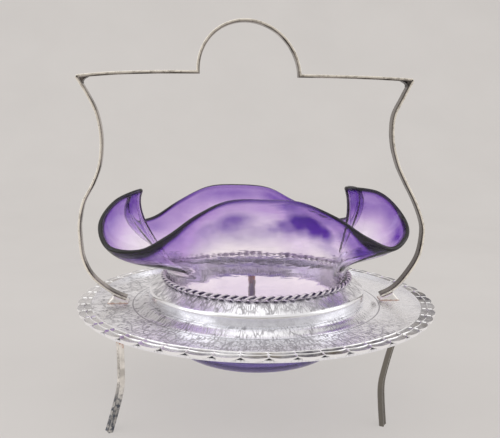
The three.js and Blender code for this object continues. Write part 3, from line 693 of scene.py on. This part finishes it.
def spline(places, steps):
    """Uniform Catmull-Rom curve through open places, the same at its ends as in the CAD"""
    places = np.array(places, float)
    result = []
    for share in np.linspace(0, 1, steps + 1):
        along = share * (len(places) - 1)
        i = min(int(along), len(places) - 2)
        four = [places[min(max(k, 0), len(places) - 1)] for k in range(i - 1, i + 3)]
        result.append(smooth_place(four, along - i))
    return [tuple(point) for point in result]


def offset_path(path, distance):
    """The path moved to its left by a distance, with mitred corners"""
    moved = []
    for i, (x, z) in enumerate(path):
        here = Vector((x, z))
        arriving = (here - Vector(path[i - 1])).normalized() if i > 0 else None
        leaving = (Vector(path[i + 1]) - here).normalized() if i < len(path) - 1 else None
        first, second = arriving or leaving, leaving or arriving
        normal = Vector((-first.y - second.y, first.x + second.x)).normalized()
        spread = normal.dot(Vector((-first.y, first.x)))
        moved.append(here + normal * (distance / spread))
    return moved


def swept_strip(name, path, section, material, place, values):
    """A flat strip along a path in a plane. The section's points are across and out of the
    plane, and place turns a point of the plane and its distance from it into the dish's frame"""
    lines = [offset_path(path, across) for across, _ in section]
    points = []
    for i in range(len(path)):
        points += [place(*line[i], out) for line, (_, out) in zip(lines, section)]
    faces = [tuple(reversed(face)) for face in closed_faces(len(path), len(section))]
    values = {key: list(numbers) * len(path) for key, numbers in values.items()}
    piece = mesh_object(name, points, faces, material, values)
    sharpen(piece)
    return piece


def fillet(name, outline, rows, material, place):
    """A run of solder across a strip. Each row gives its place across and a scale for the
    outline"""
    middle = sum(outline, Vector((0, 0))) / len(outline)
    points = []
    for across, scale in rows:
        points += [place(middle.x + (p.x - middle.x) * scale,
                         middle.y + (p.y - middle.y) * scale, across) for p in outline]
    return mesh_object(name, points, closed_faces(len(rows), len(outline)), material)


def sharpen(piece, angle=math.radians(50)):
    """Shades edges that turn by more than the angle as sharp"""
    piece.data.set_sharp_from_angle(angle=angle)


class LipCurve:
    """The closed curve of the bowl's lip, as in the part's source"""

    def __init__(self, bowl, waist):
        low = waist + bowl.lip_low_rise
        self.low = low
        self.places = np.array([[a * bowl.lip_half_length, c * bowl.lip_half_width,
                                 low + u * bowl.lip_high_rise] for a, c, u in LIP_SHARES])

    def at(self, rounds):
        along = np.mod(rounds, 1.0) * len(self.places)
        i = np.floor(along).astype(int)
        four = [self.places[(i + k) % len(self.places)] for k in (-1, 0, 1, 2)]
        return smooth_place(four, (along - i)[:, None])


def bowl_surface(bowl, ledge, rounds, way):
    """Points of the bowl's outer surface all the way round, on the way from the middle of the
    base, 0, over the rounded corner, 1, and the waist, 2, to the lip, 3"""
    bottom = BOWL_LOW[2]
    corner = bottom + bowl.corner_rise
    waist = ledge + bowl.stand
    lip = LipCurve(bowl, waist)
    middle = lip.at(rounds)
    if way < 1:
        turn = way * math.pi / 2
        share = 2 / bowl.corner_power
        radius = np.full(len(rounds), bowl.base_radius * math.sin(turn) ** share)
        height = np.full(len(rounds), corner - bowl.corner_rise * math.cos(turn) ** share)
    elif way < 2:
        climb = way - 1
        radius = np.full(len(rounds),
                         bowl.base_radius + (bowl.waist_radius - bowl.base_radius) * climb)
        height = np.full(len(rounds), corner + (waist - corner) * climb)
    else:
        t = way - 2
        taper = math.atan2(bowl.waist_radius - bowl.base_radius, waist - corner)
        rise = np.maximum((middle[:, 2] - lip.low) / bowl.lip_high_rise, 0)
        slope = bowl.low_slope + (bowl.high_slope - bowl.low_slope) * np.sqrt(rise)
        end = np.stack([np.hypot(middle[:, 0], middle[:, 1]), middle[:, 2]], 1)
        end = end + np.stack([np.sin(slope), -np.cos(slope)], 1) * bowl.lip_thickness / 2
        start = np.array([bowl.waist_radius, waist])
        above = start + np.array([math.sin(taper), math.cos(taper)]) * bowl.waist_pull
        below = end - np.stack([np.cos(slope), np.sin(slope)], 1) * bowl.lip_pull
        place = (start * (1 - t) ** 3 + above * 3 * t * (1 - t) ** 2
                 + below * 3 * t ** 2 * (1 - t) + end * t ** 3)
        radius, height = place[:, 0], place[:, 1]
    angle = np.arctan2(middle[:, 1], middle[:, 0]) + bowl.turn
    return np.stack([radius * np.cos(angle), radius * np.sin(angle), height], 1)


def wall_directions(bowl, ledge, rounds, way, step=0.001):
    """Out of the bowl's outer surface, and up along it"""
    along = (bowl_surface(bowl, ledge, rounds + step, way)
             - bowl_surface(bowl, ledge, rounds - step, way))
    up = (bowl_surface(bowl, ledge, rounds, min(way + step, 3))
          - bowl_surface(bowl, ledge, rounds, way - step))
    out = np.cross(along, up)
    return [line / np.linalg.norm(line, axis=1)[:, None] for line in (out, up)]


def turn_from(rounds, middle, half_turn):
    """How far round the lip each place is from the middle of a stretch, 1 at the stretch's ends"""
    return np.abs((rounds - middle + 0.5) % 1 - 0.5) / half_turn


class DISH_OT_glass_bowl(bpy.types.Operator):
    """Builds the crimped glass bowl with its rolled lip"""
    bl_idname = "dish.glass_bowl"
    bl_label = "Glass bowl"

    def execute(self, context):
        bowl, ledge = context.scene.dish_bowl, context.scene.dish_stand.ledge_height
        colours = context.scene.dish_colours
        columns_per_place = 9
        columns = len(LIP_SHARES) * columns_per_place
        rounds = np.arange(columns) / columns
        outer, edge, inner = self.walls(bowl, ledge, rounds)
        rows = outer + edge + inner[::-1]
        below = [np.zeros(columns)] * len(outer)
        for k in range(len(outer) - 2, -1, -1):
            below[k] = below[k + 1] + np.linalg.norm(outer[k + 1] - outer[k], axis=1)
        below = np.concatenate(below + [np.zeros(columns)] * len(edge) + below[::-1])
        points = [tuple(point) for row in rows for point in row]
        faces = grid_faces(len(rows), columns, False, True)
        # A fan of faces closes the middle of the base, below and inside
        low, high, last = len(points), len(points) + 1, (len(rows) - 1) * columns
        points += [(0, 0, BOWL_LOW[2]), (0, 0, BOWL_LOW[2] + bowl.base_thickness)]
        for j in range(columns):
            k = (j + 1) % columns
            faces += [(k, j, low), (last + j, last + k, high)]
        piece = mesh_object("crimped_bowl", points, faces, blown_glass(colours),
                            self.tints(bowl, ledge, rounds, below, len(rows)))
        dress(piece, "bowl", "amethyst_glass", "glass_bowl")
        return {"FINISHED"}

    def walls(self, bowl, ledge, rounds):
        """Rows of points up the outside, over the lip and up the inside"""
        base_rows, wall_rows, flare_rows, edge_rows = 14, 8, 30, 8
        ways = [k / base_rows for k in range(1, base_rows)]
        ways += [1 + k / wall_rows for k in range(wall_rows)]
        ways += [2 + k / flare_rows for k in range(flare_rows + 1)]
        outer, inner = [], []
        for way in ways:
            if way < 1:
                thickness = bowl.base_thickness + (bowl.waist_thickness - bowl.base_thickness) * way
            else:
                thickness = bowl.waist_thickness + (
                    bowl.lip_thickness - bowl.waist_thickness) * (way - 1) / 2
            surface = bowl_surface(bowl, ledge, rounds, way)
            out = wall_directions(bowl, ledge, rounds, way)[0]
            outer.append(surface)
            inner.append(surface - out * thickness)
        # The lip is fire-polished to a round edge
        middle = (outer[-1] + inner[-1]) / 2
        half = (outer[-1] - inner[-1]) / 2
        up = wall_directions(bowl, ledge, rounds, 3)[1]
        turns = [math.pi * k / edge_rows for k in range(1, edge_rows)]
        edge = [middle + half * math.cos(a) + up * bowl.lip_thickness / 2 * math.sin(a)
                for a in turns]
        return outer, edge, inner

    def tints(self, bowl, ledge, rounds, below, count):
        """Numbers for the colours at each point: millimetres below the lip, how far it lies in
        the dark rim, and how dense a cloud of tint and painted refraction it lies in. Two more are
        for the base's middle"""
        lip = LipCurve(bowl, ledge + bowl.stand)
        place = lip.at(rounds)
        rise = np.clip((place[:, 2] - lip.low) / bowl.lip_high_rise, 0, 1)
        ends = np.clip(np.abs(place[:, 0]) / bowl.lip_half_length / 0.6, 0, 1)
        back = np.clip(place[:, 1] / bowl.lip_half_width, 0, 1)
        # The dark rim is widest, in millimetres, at the low places of the two ends
        widest, high_loss, side_share, back_loss = 4.8, 2.8, 0.22, 0.6
        dark = ((widest - high_loss * rise) * (side_share + (1 - side_share) * ends ** 2)
                * (1 - back_loss * back))
        for middle, half_turn, extra in GATHERED_RIM:
            dark = dark + extra * np.clip(1 - turn_from(rounds, middle, half_turn) ** 2, 0, 1)
        dark = np.tile(dark, count)
        soft_edge = 0.9 + 0.45 * dark
        rim = np.clip((dark - below) / soft_edge, 0, 1)
        crisp_share, steepness = 0.35, 1.35
        cloud_and_refraction = np.zeros(len(below))
        for middle, depth, half_turn, half_depth, strength in CLOUDS_AND_REFRACTIONS:
            turn = np.tile(turn_from(rounds, middle, half_turn), count)
            fade = np.where(below < depth, crisp_share, 1.0) * half_depth
            spread = np.hypot(turn, (below - depth) / fade)
            cloud_and_refraction = np.maximum(cloud_and_refraction, strength * np.clip(steepness * (1 - spread), 0, 1))
        # The lobes and the back were drawn out in deeper glass than the middle of the front
        paler_by = 23
        tint = below + paler_by * np.tile((1 - ends ** 2) * (1 - back), count)
        return {"below_lip": [*tint, 90.0, 90.0], "rim": [*rim, 0.0, 0.0],
                "cloud_and_refraction": [*cloud_and_refraction, 0.0, 0.0]}


class DISH_OT_tray(bpy.types.Operator):
    """Builds the engraved tray and its beaded border"""
    bl_idname = "dish.tray"
    bl_label = "Tray"

    def execute(self, context):
        stand = context.scene.dish_stand
        self.plate(stand, context.scene.dish_colours)
        self.border(stand)
        return {"FINISHED"}

    def plate(self, stand, colours):
        """A flat flange, a curved step up to the ledge and the hole for the bowl"""
        top, ledge, thick = stand.flange_height, stand.ledge_height, stand.plate_thickness
        step_in, step_out = stand.riser_radius + 1.5, stand.riser_radius + 7.5
        step_rows, flange_rows = 10, 14
        step = [(step_in + (step_out - step_in) * k / step_rows,
                 ledge + (top - ledge) * (1 - math.cos(math.pi * k / step_rows)) / 2)
                for k in range(step_rows + 1)]
        flange = [(step_out + (stand.plate_radius - step_out) * k / flange_rows, top)
                  for k in range(1, flange_rows + 1)]
        under_flange = [(r, z - thick) for r, z in reversed(flange)]
        under_step = [(r - 0.4, z - thick) for r, z in reversed(step)]
        upper = [(stand.plate_hole, ledge), *step, *flange]
        section = [*upper, *under_flange, *under_step, (stand.plate_hole, ledge - thick)]
        # Two rings of leaves: radius, swing of the stem and waves round the ring
        rings = ((stand.riser_radius + 14.5, 3.4, 20), (stand.riser_radius + 21, 2.6, 20))
        material = engraved_plate(colours, "bright_cut_silver_plate_tray", rings, middle=75.0,
                                  flutes=190)
        engraved = [0.0] * (len(section) - len(upper)) + [1.0] * len(upper)
        piece = turned("tray_with_raised_ring", section[::-1], material, engraved)
        dress(piece, "stand", "silver_plate", "tray_plate")

    def border(self, stand):
        """Two rows of sunk pads between ridges, with a scalloped edge"""
        steps, rings = 14, 24
        width, height, sunk_depth, scallop_depth = 5.5, 1.85, 0.75, 1.7
        count = stand.scallops * steps
        inside = stand.plate_radius - width
        base = stand.flange_height
        # The middle of a scallop stands 2 degrees from the right-hand end of the tray
        first = math.radians(2) - math.pi / stand.scallops
        points, hollow = [], []
        for i in range(count):
            angle = first + 2 * math.pi * i / count
            across = (i % steps) / steps * 2 - 1
            edge = stand.tray_radius - scallop_depth * abs(across) ** 2.2
            between = (1 - abs(across) ** 8) ** 0.5
            ring = [(inside, base), (edge - 0.3, base + 0.9 * abs(across) ** 3)]
            hollow += [0.0, 0.0]
            for k in range(rings + 1):
                share = 1 - k / rings
                row = (share * 2) % 1 if share < 1 else 1.0
                sunk = (1 - abs(row * 2 - 1) ** 6) ** 0.5 if 0 < row < 1 else 0.0
                sunk *= between
                rise = height - sunk_depth * sunk
                if share > 0.96:
                    rise *= 0.8
                ring.append((inside + (edge - inside) * share, base + rise))
                hollow.append(sunk)
            points += [(r * math.cos(angle), r * math.sin(angle), z) for r, z in ring]
        faces = grid_faces(count, len(points) // count, True, True)
        piece = mesh_object("beaded_border", points, faces, cast_plate(), {"hollow": hollow})
        sharpen(piece, math.radians(70))
        dress(piece, "stand", "silver_plate", "tray_border")


class DISH_OT_collar(bpy.types.Operator):
    """Builds the collar and the twisted wire round its mouth"""
    bl_idname = "dish.collar"
    bl_label = "Collar"

    def execute(self, context):
        stand = context.scene.dish_stand
        foot, top = stand.ledge_height, stand.collar_top
        riser, mouth = stand.riser_radius, stand.riser_radius - stand.shoulder_width
        turn = foot + stand.riser_height
        corners = [(riser - 1, foot, 0.1), (riser, foot, 0.3), (riser, turn, 1.6),
                   (mouth + 1.0, top, 1.2), (mouth, top, 0.3), (mouth, top - 1, 0.3),
                   (riser - 1, turn - 1, 1.2)]
        section = rounded(corners, 6)
        middle = (mouth + riser) / 2
        material = engraved_plate(context.scene.dish_colours, "bright_cut_silver_plate_collar",
                                  ((middle, 2.2, 32),), middle)
        engraved = [1.0 if mouth + 0.6 < r < riser - 0.7 and z > turn - 1 else 0.0
                    for r, z in section]
        piece = turned("engraved_collar", section, material, engraved)
        dress(piece, "stand", "silver_plate", "bowl_collar")
        self.wire(stand, mouth, top)
        return {"FINISHED"}

    def wire(self, stand, mouth, top):
        """Two round strands laid round each other, in 72 half turns round the mouth"""
        steps, sides, half_turns = 960, 10, 72
        ring = mouth + stand.wire_radius
        height = top + 0.1 + stand.wire_radius
        strand = stand.wire_radius / 2
        # The strands press into each other a little
        thick = strand * 1.05
        points, faces, hollow = [], [], []
        for number in range(2):
            offset = len(points)
            for i in range(steps):
                angle = 2 * math.pi * i / steps
                turn = math.pi * number + math.pi * i * half_turns / steps
                centre = Vector((ring + strand * math.cos(turn), height + strand * math.sin(turn)))
                for k in range(sides):
                    side = 2 * math.pi * k / sides
                    r = centre.x + thick * math.cos(side)
                    z = centre.y + thick * math.sin(side)
                    points.append((r * math.cos(angle), r * math.sin(angle), z))
                    hollow.append(0.5 - 0.5 * math.cos(side - turn))
            faces += [tuple(reversed(face))
                      for face in grid_faces(steps, sides, True, True, offset)]
        piece = mesh_object("twisted_wire", points, faces, plated_wire(), {"hollow": hollow})
        dress(piece, "stand", "worn_silver_plate", "collar_wire")


class DISH_OT_handle(bpy.types.Operator):
    """Builds the rail, the arms, the solder in the corners and the pads"""
    bl_idname = "dish.handle"
    bl_label = "Handle"

    foot_radius: bpy.props.FloatProperty(
        name="Foot radius", description="Axis to the foot of an arm, in millimetres", default=68.76)
    reach: bpy.props.FloatProperty(
        name="Reach", description="Axis to the widest place of an arm", default=91.4)
    corner_rise: bpy.props.FloatProperty(
        name="Corner rise", description="Flange up to the corners", default=118.7)
    lean: bpy.props.FloatProperty(
        name="Lean", description="Sideways at the height of the corners", default=-6.2)
    crown: bpy.props.FloatProperty(
        name="Crown", description="Rise of the rail from the corners to the arch", default=2.2)
    arch_tilt: bpy.props.FloatProperty(
        name="Arch tilt", description="Left foot of the arch above its right foot", default=1.4)
    arch_half_width: bpy.props.FloatProperty(
        name="Arch half width", description="Of the arch in the rail", default=26.3)
    arch_rise: bpy.props.FloatProperty(
        name="Arch rise", description="Of the arch in the rail", default=26.9)
    arch_offset: bpy.props.FloatProperty(
        name="Arch offset", description="Of the arch from the rail's middle", default=1.2)

    def execute(self, context):
        stand, colours = context.scene.dish_stand, context.scene.dish_colours
        self.base = stand.flange_height
        self.half = stand.strip_thickness / 2
        self.foot_height = self.base + PAD_HEIGHT + self.half
        self.corner_height = self.base + self.corner_rise
        half, side, flat = self.half, stand.strip_width / 2, stand.strip_width / 2 - 0.7
        section = rounded([(-half, -side, 0.55), (-half, -flat, 0), (-half, flat, 0),
                           (-half, side, 0.55), (0, side, 0), (half, side, 0.55), (half, flat, 0),
                           (half, -flat, 0), (half, -side, 0.55), (0, -side, 0)], 3)
        # The outer face of an arm and the upper face of the rail get a highlight painted along
        # their edges
        outer = [1.0 if abs(y) > flat + 0.1 and x < 0.1 else 0.0 for x, y in section]
        upper = [1.0 if abs(y) > flat + 0.1 and x > -0.1 else 0.0 for x, y in section]
        strip = rolled_strip(colours)
        solder = soft_solder("burnt_soft_solder", "6b6460", "1c1a1a")
        pad = pad_metal(colours, self.base)
        for name, side, shares in (("right", 1, RIGHT_ARM_PATH_SHARES),
                                   ("left", -1, LEFT_ARM_PATH_SHARES)):
            piece = swept_strip(f"arm_{name}", self.arm_path(shares, 120), section, strip,
                                self.placer(side), {"edge": outer})
            if side < 0:
                piece.data.flip_normals()
            dress(piece, "stand", "worn_silver_plate", f"handle_arm_{name}")
            self.pad(name, side, shares, pad)
            self.solder(name, side, shares, solder)
        rail = swept_strip("rail_with_arch", self.rail_path(), section, strip, self.placer(1),
                           {"edge": upper})
        dress(rail, "stand", "worn_silver_plate", "handle_rail")
        return {"FINISHED"}

    def placer(self, side):
        """Turns a place in the handle's plane into the dish's frame, leaning and on one side"""
        shear = self.lean / self.corner_rise

        def place(x, z, y):
            return (side * x + shear * (z - self.base), y, z)
        return place

    def arm_path(self, shares, steps):
        """Up the middle of an arm, from its foot to the corner"""
        places = [(self.foot_radius + a * (self.reach - self.foot_radius),
                   self.foot_height + u * (self.corner_height - self.foot_height))
                  for a, u in shares]
        return spline(places, steps)

    def rail_path(self):
        """Along the rail, from the left-hand corner over the arch to the right-hand corner"""
        corner = Vector(self.arm_path(RIGHT_ARM_PATH_SHARES, 1)[-1])
        left_corner = Vector(self.arm_path(LEFT_ARM_PATH_SHARES, 1)[-1])
        left_corner.x = -left_corner.x
        steps = 60
        arch = []
        for k in range(steps + 1):
            angle = math.pi * (1 - k / steps)
            arch.append((self.arch_offset + self.arch_half_width * math.cos(angle),
                         self.corner_height + self.crown + self.arch_rise * math.sin(angle)
                         - self.arch_tilt / 2 * math.cos(angle)))
        right = self.bar(Vector(arch[-1]), corner)
        left = self.bar(Vector(arch[0]), left_corner)
        return left[::-1] + arch[1:-1] + right

    def bar(self, foot, corner):
        """From a foot of the arch out to a corner, falling slightly"""
        shoulder = Vector(((corner.x * 2 + foot.x) / 3, foot.y))
        return [tuple(point) for point in bend(foot, shoulder, corner, 24)]

    def pad(self, name, side, shares, material):
        """A low mound on the flange with rounded sides, shaped to the underside of the arm"""
        half_width, toe_length, heel_length, gap = 3.9, 1.1, 3.4, 0.12
        count, rows = 40, 17
        under = [p for p in offset_path(self.arm_path(shares, 60), -self.half - gap)
                 if p.y < self.base + 5]
        place = self.placer(side)
        start, end = under[0].x - toe_length, under[-1].x + heel_length
        tops = np.interp(np.linspace(start, end, count + 1), [start, *(p.x for p in under), end],
                         [self.base + 0.7, *(p.y for p in under), self.base + 0.1])
        ways = [start + (end - start) * k / count for k in range(count + 1)]
        sides = [math.sin(math.pi * (j / (rows - 1) - 0.5)) for j in range(rows)]
        points = []
        for across in sides:
            flare = max((1 - abs(across) ** 6) ** 0.5, 0.02)
            points += [place(x, self.base + (top - self.base) * 0.98 * flare, across * half_width)
                       for x, top in zip(ways, tops)]
        offset = len(points)
        points += [place(x, self.base, across * (half_width + 0.05))
                   for across in sides for x in ways]
        faces = [tuple(reversed(f)) for f in grid_faces(rows, count + 1, False, False)]
        faces += grid_faces(rows, count + 1, False, False, offset)
        # The points on the rim of the mound, all the way round
        rim = ([k for k in range(count + 1)]
               + [j * (count + 1) + count for j in range(1, rows)]
               + [(rows - 1) * (count + 1) + k for k in range(count - 1, -1, -1)]
               + [j * (count + 1) for j in range(rows - 2, 0, -1)])
        for a, b in zip(rim, rim[1:] + rim[:1]):
            faces.append((a, b, b + offset, a + offset))
        piece = mesh_object(f"pad_{name}", points, faces, material)
        if side > 0:
            piece.data.flip_normals()
        sharpen(piece)
        dress(piece, "stand", "solder_and_bared_metal", f"handle_pad_{name}")

    def solder(self, name, side, shares, material):
        """A fillet with a hollow face, in the corner under the rail"""
        low, high = node_mm(f"corner_solder_{name}")
        top = high[2]
        arm = [p for p in offset_path(self.arm_path(shares, 120), self.half + 0.1)
               if low[2] < p.y < top]
        start, end = arm[0], arm[-1]
        face = bend(start, Vector((end.x - 0.9, end.y - 0.9)), Vector((end.x - 4.3, top - 0.02)), 8)
        outline = face + [Vector((end.x, top - 0.02))] + arm[::-1][1:-1]
        rows = [(-2.75, 0.94), (-2.2, 1.0), (0, 1.0), (2.2, 1.0), (2.75, 0.94)]
        piece = fillet(f"corner_fillet_{name}", outline, rows, material, self.placer(side))
        if side > 0:
            piece.data.flip_normals()
        sharpen(piece)
        dress(piece, "stand", "solder_and_bared_metal", f"corner_solder_{name}")


class DISH_OT_legs(bpy.types.Operator):
    """Builds the three strip legs and the solder behind their bends"""
    bl_idname = "dish.legs"
    bl_label = "Legs"

    def execute(self, context):
        stand, colours = context.scene.dish_stand, context.scene.dish_colours
        strip = stippled_strip(colours)
        solder = soft_solder("flowed_soft_solder", "c2b6ab", colours.copper)
        half, width = stand.leg_thickness / 2, stand.leg_width / 2
        # The outer face is sunk between two plain borders
        border, sunk, bevel = 1.0, 0.25, 0.3
        inner = width - border - sunk
        section = [(-half, -width + 0.4), (-half, width - 0.4), (-half + bevel, width),
                   (half - bevel, width), (half, width - bevel), (half, width - border),
                   (half - sunk, inner), (half - sunk, -inner), (half, -width + border),
                   (half, -width + bevel), (half - bevel, -width), (-half + bevel, -width)]
        band = [0, 0, 0, 0, 0, 0, 1, 1, 0, 0, 0, 0]
        for name, (azimuth, splay) in LEGS.items():
            path = self.path(stand, math.radians(splay))
            turn = Matrix.Rotation(math.radians(azimuth), 3, "Z")

            def place(x, z, y):
                return tuple(turn @ Vector((x, y, max(z, 0))))

            piece = swept_strip(f"strip_leg_{name}", path, section, strip, place, {"hollow": band})
            dress(piece, "stand", "worn_silver_plate", f"leg_{name}")
            self.solder(name, stand, place, path, solder)
        return {"FINISHED"}

    def path(self, stand, splay):
        """From the tab under the tray round the bend and down to the foot"""
        top = stand.riser_radius + LEG_PLACE
        under = stand.flange_height - stand.plate_thickness
        tab = under - stand.leg_thickness / 2
        reach, tab_length = 3, 7
        places = [(top - reach / 2, tab - reach)]
        for out, up in LEG_PATH_SHARES:
            places.append((top + out * tab + (1 - up) * tab * math.tan(splay), up * tab))
        drop = spline(places, 48)
        curve = bend(Vector((top + reach, tab)), Vector((top, tab)), Vector(places[0]), 10)
        last = Vector(drop[-1])
        direction = (last - Vector(drop[-2])).normalized()
        return [(top + tab_length, tab), *(tuple(point) for point in curve), *drop[1:],
                tuple(last + direction * 0.8)]

    def solder(self, name, stand, place, path, material):
        """A small run of solder in the angle behind the bend"""
        under = stand.flange_height - stand.plate_thickness
        top = stand.riser_radius + LEG_PLACE
        back = [p for p in offset_path(path, -stand.leg_thickness / 2 - 0.12)
                if under - 4.6 < p.y < under - 0.15 and p.x < top + 2]
        upper, lower = back[0], back[-1]
        face = bend(Vector((upper.x - 4.2, under - 0.03)), Vector((lower.x - 0.7, under - 0.9)),
                    lower, 8)
        outline = [Vector((upper.x, under - 0.03))] + face + back[::-1][1:]
        rows = [(-2.3, 0.85), (-1.7, 1.0), (0, 1.0), (1.7, 1.0), (2.3, 0.85)]
        piece = fillet(f"leg_fillet_{name}", outline, rows, material, place)
        sharpen(piece)
        dress(piece, "stand", "solder_and_bared_metal", f"leg_solder_{name}")


class DISH_OT_stage(bpy.types.Operator):
    """Sets the camera, the lamps and the pale paper sweep"""
    bl_idname = "dish.stage"
    bl_label = "Stage"

    def execute(self, context):
        self.sweep()
        self.lamps()
        self.camera()
        context.scene.view_settings.view_transform = "Standard"
        return {"FINISHED"}

    def sweep(self):
        """Matt paper that rises behind the dish in one curve"""
        material, tree = new_material("pale_grey_paper")
        place = millimetres(tree)
        tone = soft_patches(tree, place, 90, 0.3, 0.7, detail=3.0)
        colour = add_node(tree, "Mix", {0: tone, 6: linear("d6d2cf"), 7: linear("d3cfcc")}, 2,
                          data_type="RGBA")
        paper = add_node(tree, "BsdfDiffuse", {"Color": colour})
        # Most of the paper's own tone is shown as it is, so that shadows on it stay faint. The
        # glass and the metal show it paler, because they also gather light from overhead
        rays = add_node(tree, "LightPath").node.outputs
        glossy, through = rays["Is Glossy Ray"], rays["Is Transmission Ray"]
        strength = add_node(tree, "Math", (glossy, 0.5, through), operation="MULTIPLY_ADD")
        strength = add_node(tree, "MapRange", (strength, 0.0, 1.0, 1.0, 1.65))
        glow = add_node(tree, "Emission", {"Color": colour, "Strength": strength})
        seen = add_node(tree, "Math", (glossy, through), operation="MAXIMUM")
        seen = add_node(tree, "Math", (rays["Is Camera Ray"], seen), operation="MAXIMUM")
        share = add_node(tree, "Math", (seen, 0.7), operation="MULTIPLY")
        shader = add_node(tree, "MixShader", (share, paper, glow))
        add_node(tree, "OutputMaterial", {"Surface": shader})
        front, bend_radius, half_width, height, steps = -1600, 500, 2200, 2200, 16
        profile = [(front, 0), (bend_radius, 0)]
        for k in range(1, steps + 1):
            angle = math.pi / 2 * k / steps
            profile.append((bend_radius + bend_radius * math.sin(angle),
                            bend_radius - bend_radius * math.cos(angle)))
        profile.append((bend_radius * 2, height))
        points = [(x, y, z) for y, z in profile for x in (-half_width, half_width)]
        faces = [(2 * i, 2 * i + 1, 2 * i + 3, 2 * i + 2) for i in range(len(profile) - 1)]
        piece = mesh_object("paper_sweep", points, faces, material)

    def lamps(self):
        """A pale room and three softboxes"""
        world = bpy.data.worlds.new("pale_room")
        bpy.context.scene.world = world
        world.use_nodes = True
        tree = world.node_tree
        tree.nodes.clear()
        # The metal mirrors a pale room that is dark low behind the camera. Seen by itself or
        # through the glass, the room is as pale as the paper
        way = add_node(tree, "TexCoord", output="Generated")
        parts = add_node(tree, "SeparateXYZ", (way,)).node.outputs
        front = add_node(tree, "MapRange", (parts[1], -0.55, -0.9))
        low = add_node(tree, "MapRange", (parts[2], 0.45, 0.15))
        dark = add_node(tree, "Math", (front, low), operation="MULTIPLY")
        room = add_node(tree, "Mix", {0: dark, 6: linear("ebe8e5"), 7: linear("a8a39e")}, 2,
                        data_type="RGBA")
        rays = add_node(tree, "LightPath").node.outputs
        seen = add_node(tree, "Math", (rays["Is Camera Ray"], rays["Is Transmission Ray"]),
                        operation="MAXIMUM")
        tone = add_node(tree, "Mix", {0: seen, 6: room, 7: linear("d2cfcc")}, 2,
                        data_type="RGBA")
        background = add_node(tree, "Background", {"Color": tone, "Strength": 1.0})
        add_node(tree, "OutputWorld", {"Surface": background})
        aim = Vector((0, 0, 80 * MM))
        # Each lamp's name, its place and side in millimetres, and its power in watts
        for name, place, size, power in (
                ("overhead_softbox", (-250, -100, 900), 1000, 1.2),
                ("left_softbox", (-900, -350, 450), 700, 1.2),
                ("right_softbox", (850, -150, 500), 600, 0.8)):
            lamp = bpy.data.lights.new(name, "AREA")
            lamp.size = size * MM
            lamp.energy = power
            holder = bpy.data.objects.new(name, lamp)
            holder.location = Vector(place) * MM
            direction = aim - holder.location
            holder.rotation_euler = direction.to_track_quat("-Z", "Y").to_euler()
            bpy.context.collection.objects.link(holder)

    def camera(self):
        """The viewpoint was fitted to the photograph, 500 by 438 pixels"""
        pixels_wide, focal_pixels = 500, 748.2
        camera = bpy.data.cameras.new("photograph_view")
        camera.sensor_width = 36
        camera.lens = focal_pixels / pixels_wide * 36
        camera.clip_start = 0.01
        holder = bpy.data.objects.new("photograph_view", camera)
        place = Vector((-36.6, -393.0, 167.4))
        target = Vector((-3.77, 0, 100.3))
        forward = (target - place).normalized()
        right = forward.cross(Vector((0, 0, 1))).normalized()
        up = right.cross(forward)
        roll = math.radians(0.63)
        tilted_right = right * math.cos(roll) + up * math.sin(roll)
        tilted_up = up * math.cos(roll) - right * math.sin(roll)
        turn = Matrix((tilted_right, tilted_up, -forward)).transposed().to_4x4()
        holder.matrix_world = Matrix.Translation(place * MM) @ turn
        bpy.context.collection.objects.link(holder)
        bpy.context.scene.camera = holder


OPERATORS = (DISH_OT_tray, DISH_OT_collar, DISH_OT_handle, DISH_OT_legs, DISH_OT_glass_bowl,
             DISH_OT_stage)
GROUPS = {"dish_bowl": BowlSizes, "dish_stand": StandSizes, "dish_colours": FinishColours}


class DISH_PT_pieces(bpy.types.Panel):
    """Lists the pieces of the dish"""
    bl_idname = "DISH_PT_pieces"
    bl_label = "Sweetmeat dish"
    bl_space_type = "VIEW_3D"
    bl_region_type = "UI"
    bl_category = "Sweetmeat dish"

    def draw(self, context):
        for operator in OPERATORS:
            self.layout.operator(operator.bl_idname)
        for name in GROUPS:
            group = getattr(context.scene, name)
            for key in group.__annotations__:
                self.layout.prop(group, key)


def register():
    for group in GROUPS.values():
        bpy.utils.register_class(group)
    for name, group in GROUPS.items():
        setattr(bpy.types.Scene, name, bpy.props.PointerProperty(type=group))
    for operator in OPERATORS:
        bpy.utils.register_class(operator)
    bpy.utils.register_class(DISH_PT_pieces)


def unregister():
    bpy.utils.unregister_class(DISH_PT_pieces)
    for operator in reversed(OPERATORS):
        bpy.utils.unregister_class(operator)
    for name in GROUPS:
        delattr(bpy.types.Scene, name)
    for group in reversed(list(GROUPS.values())):
        bpy.utils.unregister_class(group)


def main():
    register()
    bpy.ops.dish.tray()
    bpy.ops.dish.collar()
    bpy.ops.dish.handle()
    bpy.ops.dish.legs()
    bpy.ops.dish.glass_bowl()
    bpy.ops.dish.stage()
    bpy.context.view_layer.update()


if __name__ == "__main__":
    main()
